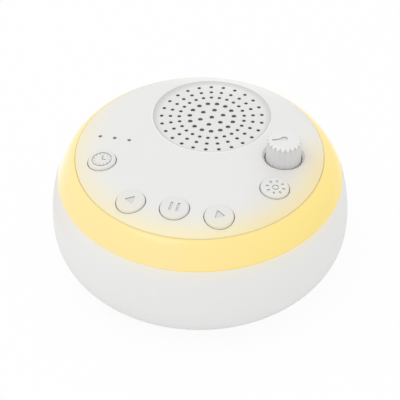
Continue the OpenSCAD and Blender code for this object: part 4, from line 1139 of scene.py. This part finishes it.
def roll(z, skin=0.0):
    """Half an ellipse from the outer to the inner foot of the roll."""
    centre = (ROLL_IN + ROLL_OUT) / 2
    half = (ROLL_OUT - ROLL_IN) / 2 - skin
    turn = [math.radians(20 * i) for i in range(1, 9)]
    return [(centre + half * math.cos(a), z + half * ROLL_SHARE * math.sin(a)) for a in turn]


def flexing_ring(node, outline):
    """Wedges of one ring, set round the speaker."""
    angle = 2 * math.pi / WEDGES
    for i in range(WEDGES):
        bm = bmesh.new()
        bm.faces.new([bm.verts.new((r * MM, 0, z * MM)) for r, z in outline])
        everything = bm.verts[:] + bm.edges[:] + bm.faces[:]
        bmesh.ops.spin(bm, geom=everything, cent=(0, 0, 0), axis=(0, 0, 1), angle=angle, steps=WEDGE_STEPS)
        bmesh.ops.recalc_face_normals(bm, faces=bm.faces)
        place = Matrix.Translation(SPEAKER) @ Matrix.Rotation((i - 0.5) * angle, 4, "Z")
        bmesh.ops.transform(bm, matrix=place, verts=bm.verts)
        wedge = to_object(bm, f"{node}_{i + 1}", finishes[slot_of[node]])
        soften(wedge)
        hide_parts(node)
        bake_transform(wedge)
    print(node, "wedges:", WEDGES, "faces in each:", len(wedge.data.polygons))


skin_top = FLANGE_Z + SKIN_T
cuff_r = ROLL_IN - CUFF_W
surround = [(FLANGE_R, FLANGE_Z), (FLANGE_R, skin_top), (ROLL_OUT, skin_top)] + roll(skin_top)
surround += [(ROLL_IN, skin_top), (cuff_r, skin_top), (cuff_r, FLANGE_Z), (ROLL_IN, FLANGE_Z)]
surround += roll(FLANGE_Z, SKIN_T)[::-1] + [(ROLL_OUT, FLANGE_Z)]
flexing_ring("speaker_surround", surround)
wave = []
for i in range(WAVE_STEPS + 1):
    u = i / WAVE_STEPS
    lift = WAVE_H * (1 - math.cos(2 * math.pi * WAVES * u))
    wave.append((SPIDER_IN + (SPIDER_FLAT - SPIDER_IN) * u, SPIDER_Z + lift))
spider = wave + [(SPIDER_OUT, SPIDER_Z), (SPIDER_OUT, SPIDER_Z + SPIDER_T)]
spider += [(r, z + SPIDER_T) for r, z in wave[::-1]]
flexing_ring("speaker_spider", spider)

# %% [markdown]
# ## Floor, light and camera
#
# A bare studio: a white floor under a white sky. The sky lights the object evenly and one broad lamp
# from the upper left gives it a soft side. To the camera, the floor is mixed with plain white, so it
# reads as a white page that still keeps a soft shadow.

# %% Floor
FLOOR_WHITE = 0.93
floor_mesh = bmesh.new()
bmesh.ops.create_grid(floor_mesh, x_segments=8, y_segments=8, size=3.0)
floor_paint = bpy.data.materials.new("studio_floor_paint")
floor_paint.use_nodes = True
tree = floor_paint.node_tree
tree.nodes.remove(tree.nodes["Principled BSDF"])
path = add(tree, "ShaderNodeLightPath")
matt = add(tree, "ShaderNodeBsdfDiffuse", Color=linear("#F4F4F4"))
white = add(tree, "ShaderNodeEmission", Color=(1, 1, 1, 1), Strength=1.0)
share = add(tree, "ShaderNodeMath", {0: (path, "Is Camera Ray")}, operation="MULTIPLY")
share.inputs[1].default_value = FLOOR_WHITE
seen = add(tree, "ShaderNodeMixShader",
           {"Fac": (share, "Value"), 1: (matt, "BSDF"), 2: (white, "Emission")})
tree.links.new(seen.outputs["Shader"], tree.nodes["Material Output"].inputs["Surface"])
floor = to_object(floor_mesh, "studio_floor", floor_paint)
print("floor:", floor.name)

# %% Sky and lamp
SKY_LIGHT = 0.9
AIM_Z = 0.03
scene = bpy.context.scene
scene.world = bpy.data.worlds.new("studio_sky")
scene.world.use_nodes = True
sky = scene.world.node_tree
path = add(sky, "ShaderNodeLightPath")
seen = add(sky, "ShaderNodeMath", {0: (path, "Is Camera Ray"), 1: (path, "Is Glossy Ray")},
           operation="MAXIMUM")
any_seen = add(sky, "ShaderNodeMath", {0: (seen, "Value"), 1: (path, "Is Transmission Ray")},
               operation="MAXIMUM")
level = add(sky, "ShaderNodeMapRange", {"Value": (any_seen, "Value")}, To_Min=SKY_LIGHT, To_Max=1.0)
sky.links.new(level.outputs["Result"], sky.nodes["Background"].inputs["Strength"])
sky.nodes["Background"].inputs["Color"].default_value = (1, 1, 1, 1)


def lamp_at(name, place, size, power):
    """A square white area lamp that looks at the body's middle."""
    data = bpy.data.lights.new(name, "AREA")
    data.shape = "SQUARE"
    data.size = size
    data.energy = power
    lamp_object = bpy.data.objects.new(name, data)
    scene.collection.objects.link(lamp_object)
    lamp_object.location = place
    aim = Vector((0, 0, AIM_Z)) - Vector(place)
    lamp_object.rotation_euler = aim.to_track_quat("-Z", "Y").to_euler()
    return lamp_object


softbox = lamp_at("broad_softbox", (-0.35, -0.3, 1.3), 0.9, 3.0)
print("lamp:", softbox.name)

# %% Camera
ELEVATION = math.radians(40.10)
AZIMUTH = math.radians(14.78)
DISTANCE = 361.5
ROLL = math.radians(0.66)
FOCAL_PX = 973.3
FRAME_PX = 400
AIM_DROP = 25.05
SENSOR_W = 36
target = Vector((0, 0, (EDGE_Z - AIM_DROP) * MM))
ground = DISTANCE * math.cos(ELEVATION) * MM
height = (EDGE_Z + DISTANCE * math.sin(ELEVATION)) * MM
eye = Vector((ground * math.sin(AZIMUTH), -ground * math.cos(AZIMUTH), height))
camera_data = bpy.data.cameras.new("view")
camera_data.sensor_width = SENSOR_W
camera_data.lens = FOCAL_PX / FRAME_PX * SENSOR_W
camera_data.clip_start = 0.01
camera = bpy.data.objects.new("view", camera_data)
scene.collection.objects.link(camera)
look = (target - eye).to_track_quat("-Z", "Y").to_matrix().to_4x4()
camera.matrix_world = Matrix.Translation(eye) @ look @ Matrix.Rotation(-ROLL, 4, "Z")
scene.camera = camera
scene.view_settings.view_transform = "Standard"
print("camera at", [round(c, 3) for c in eye], "lens", round(camera_data.lens, 1))
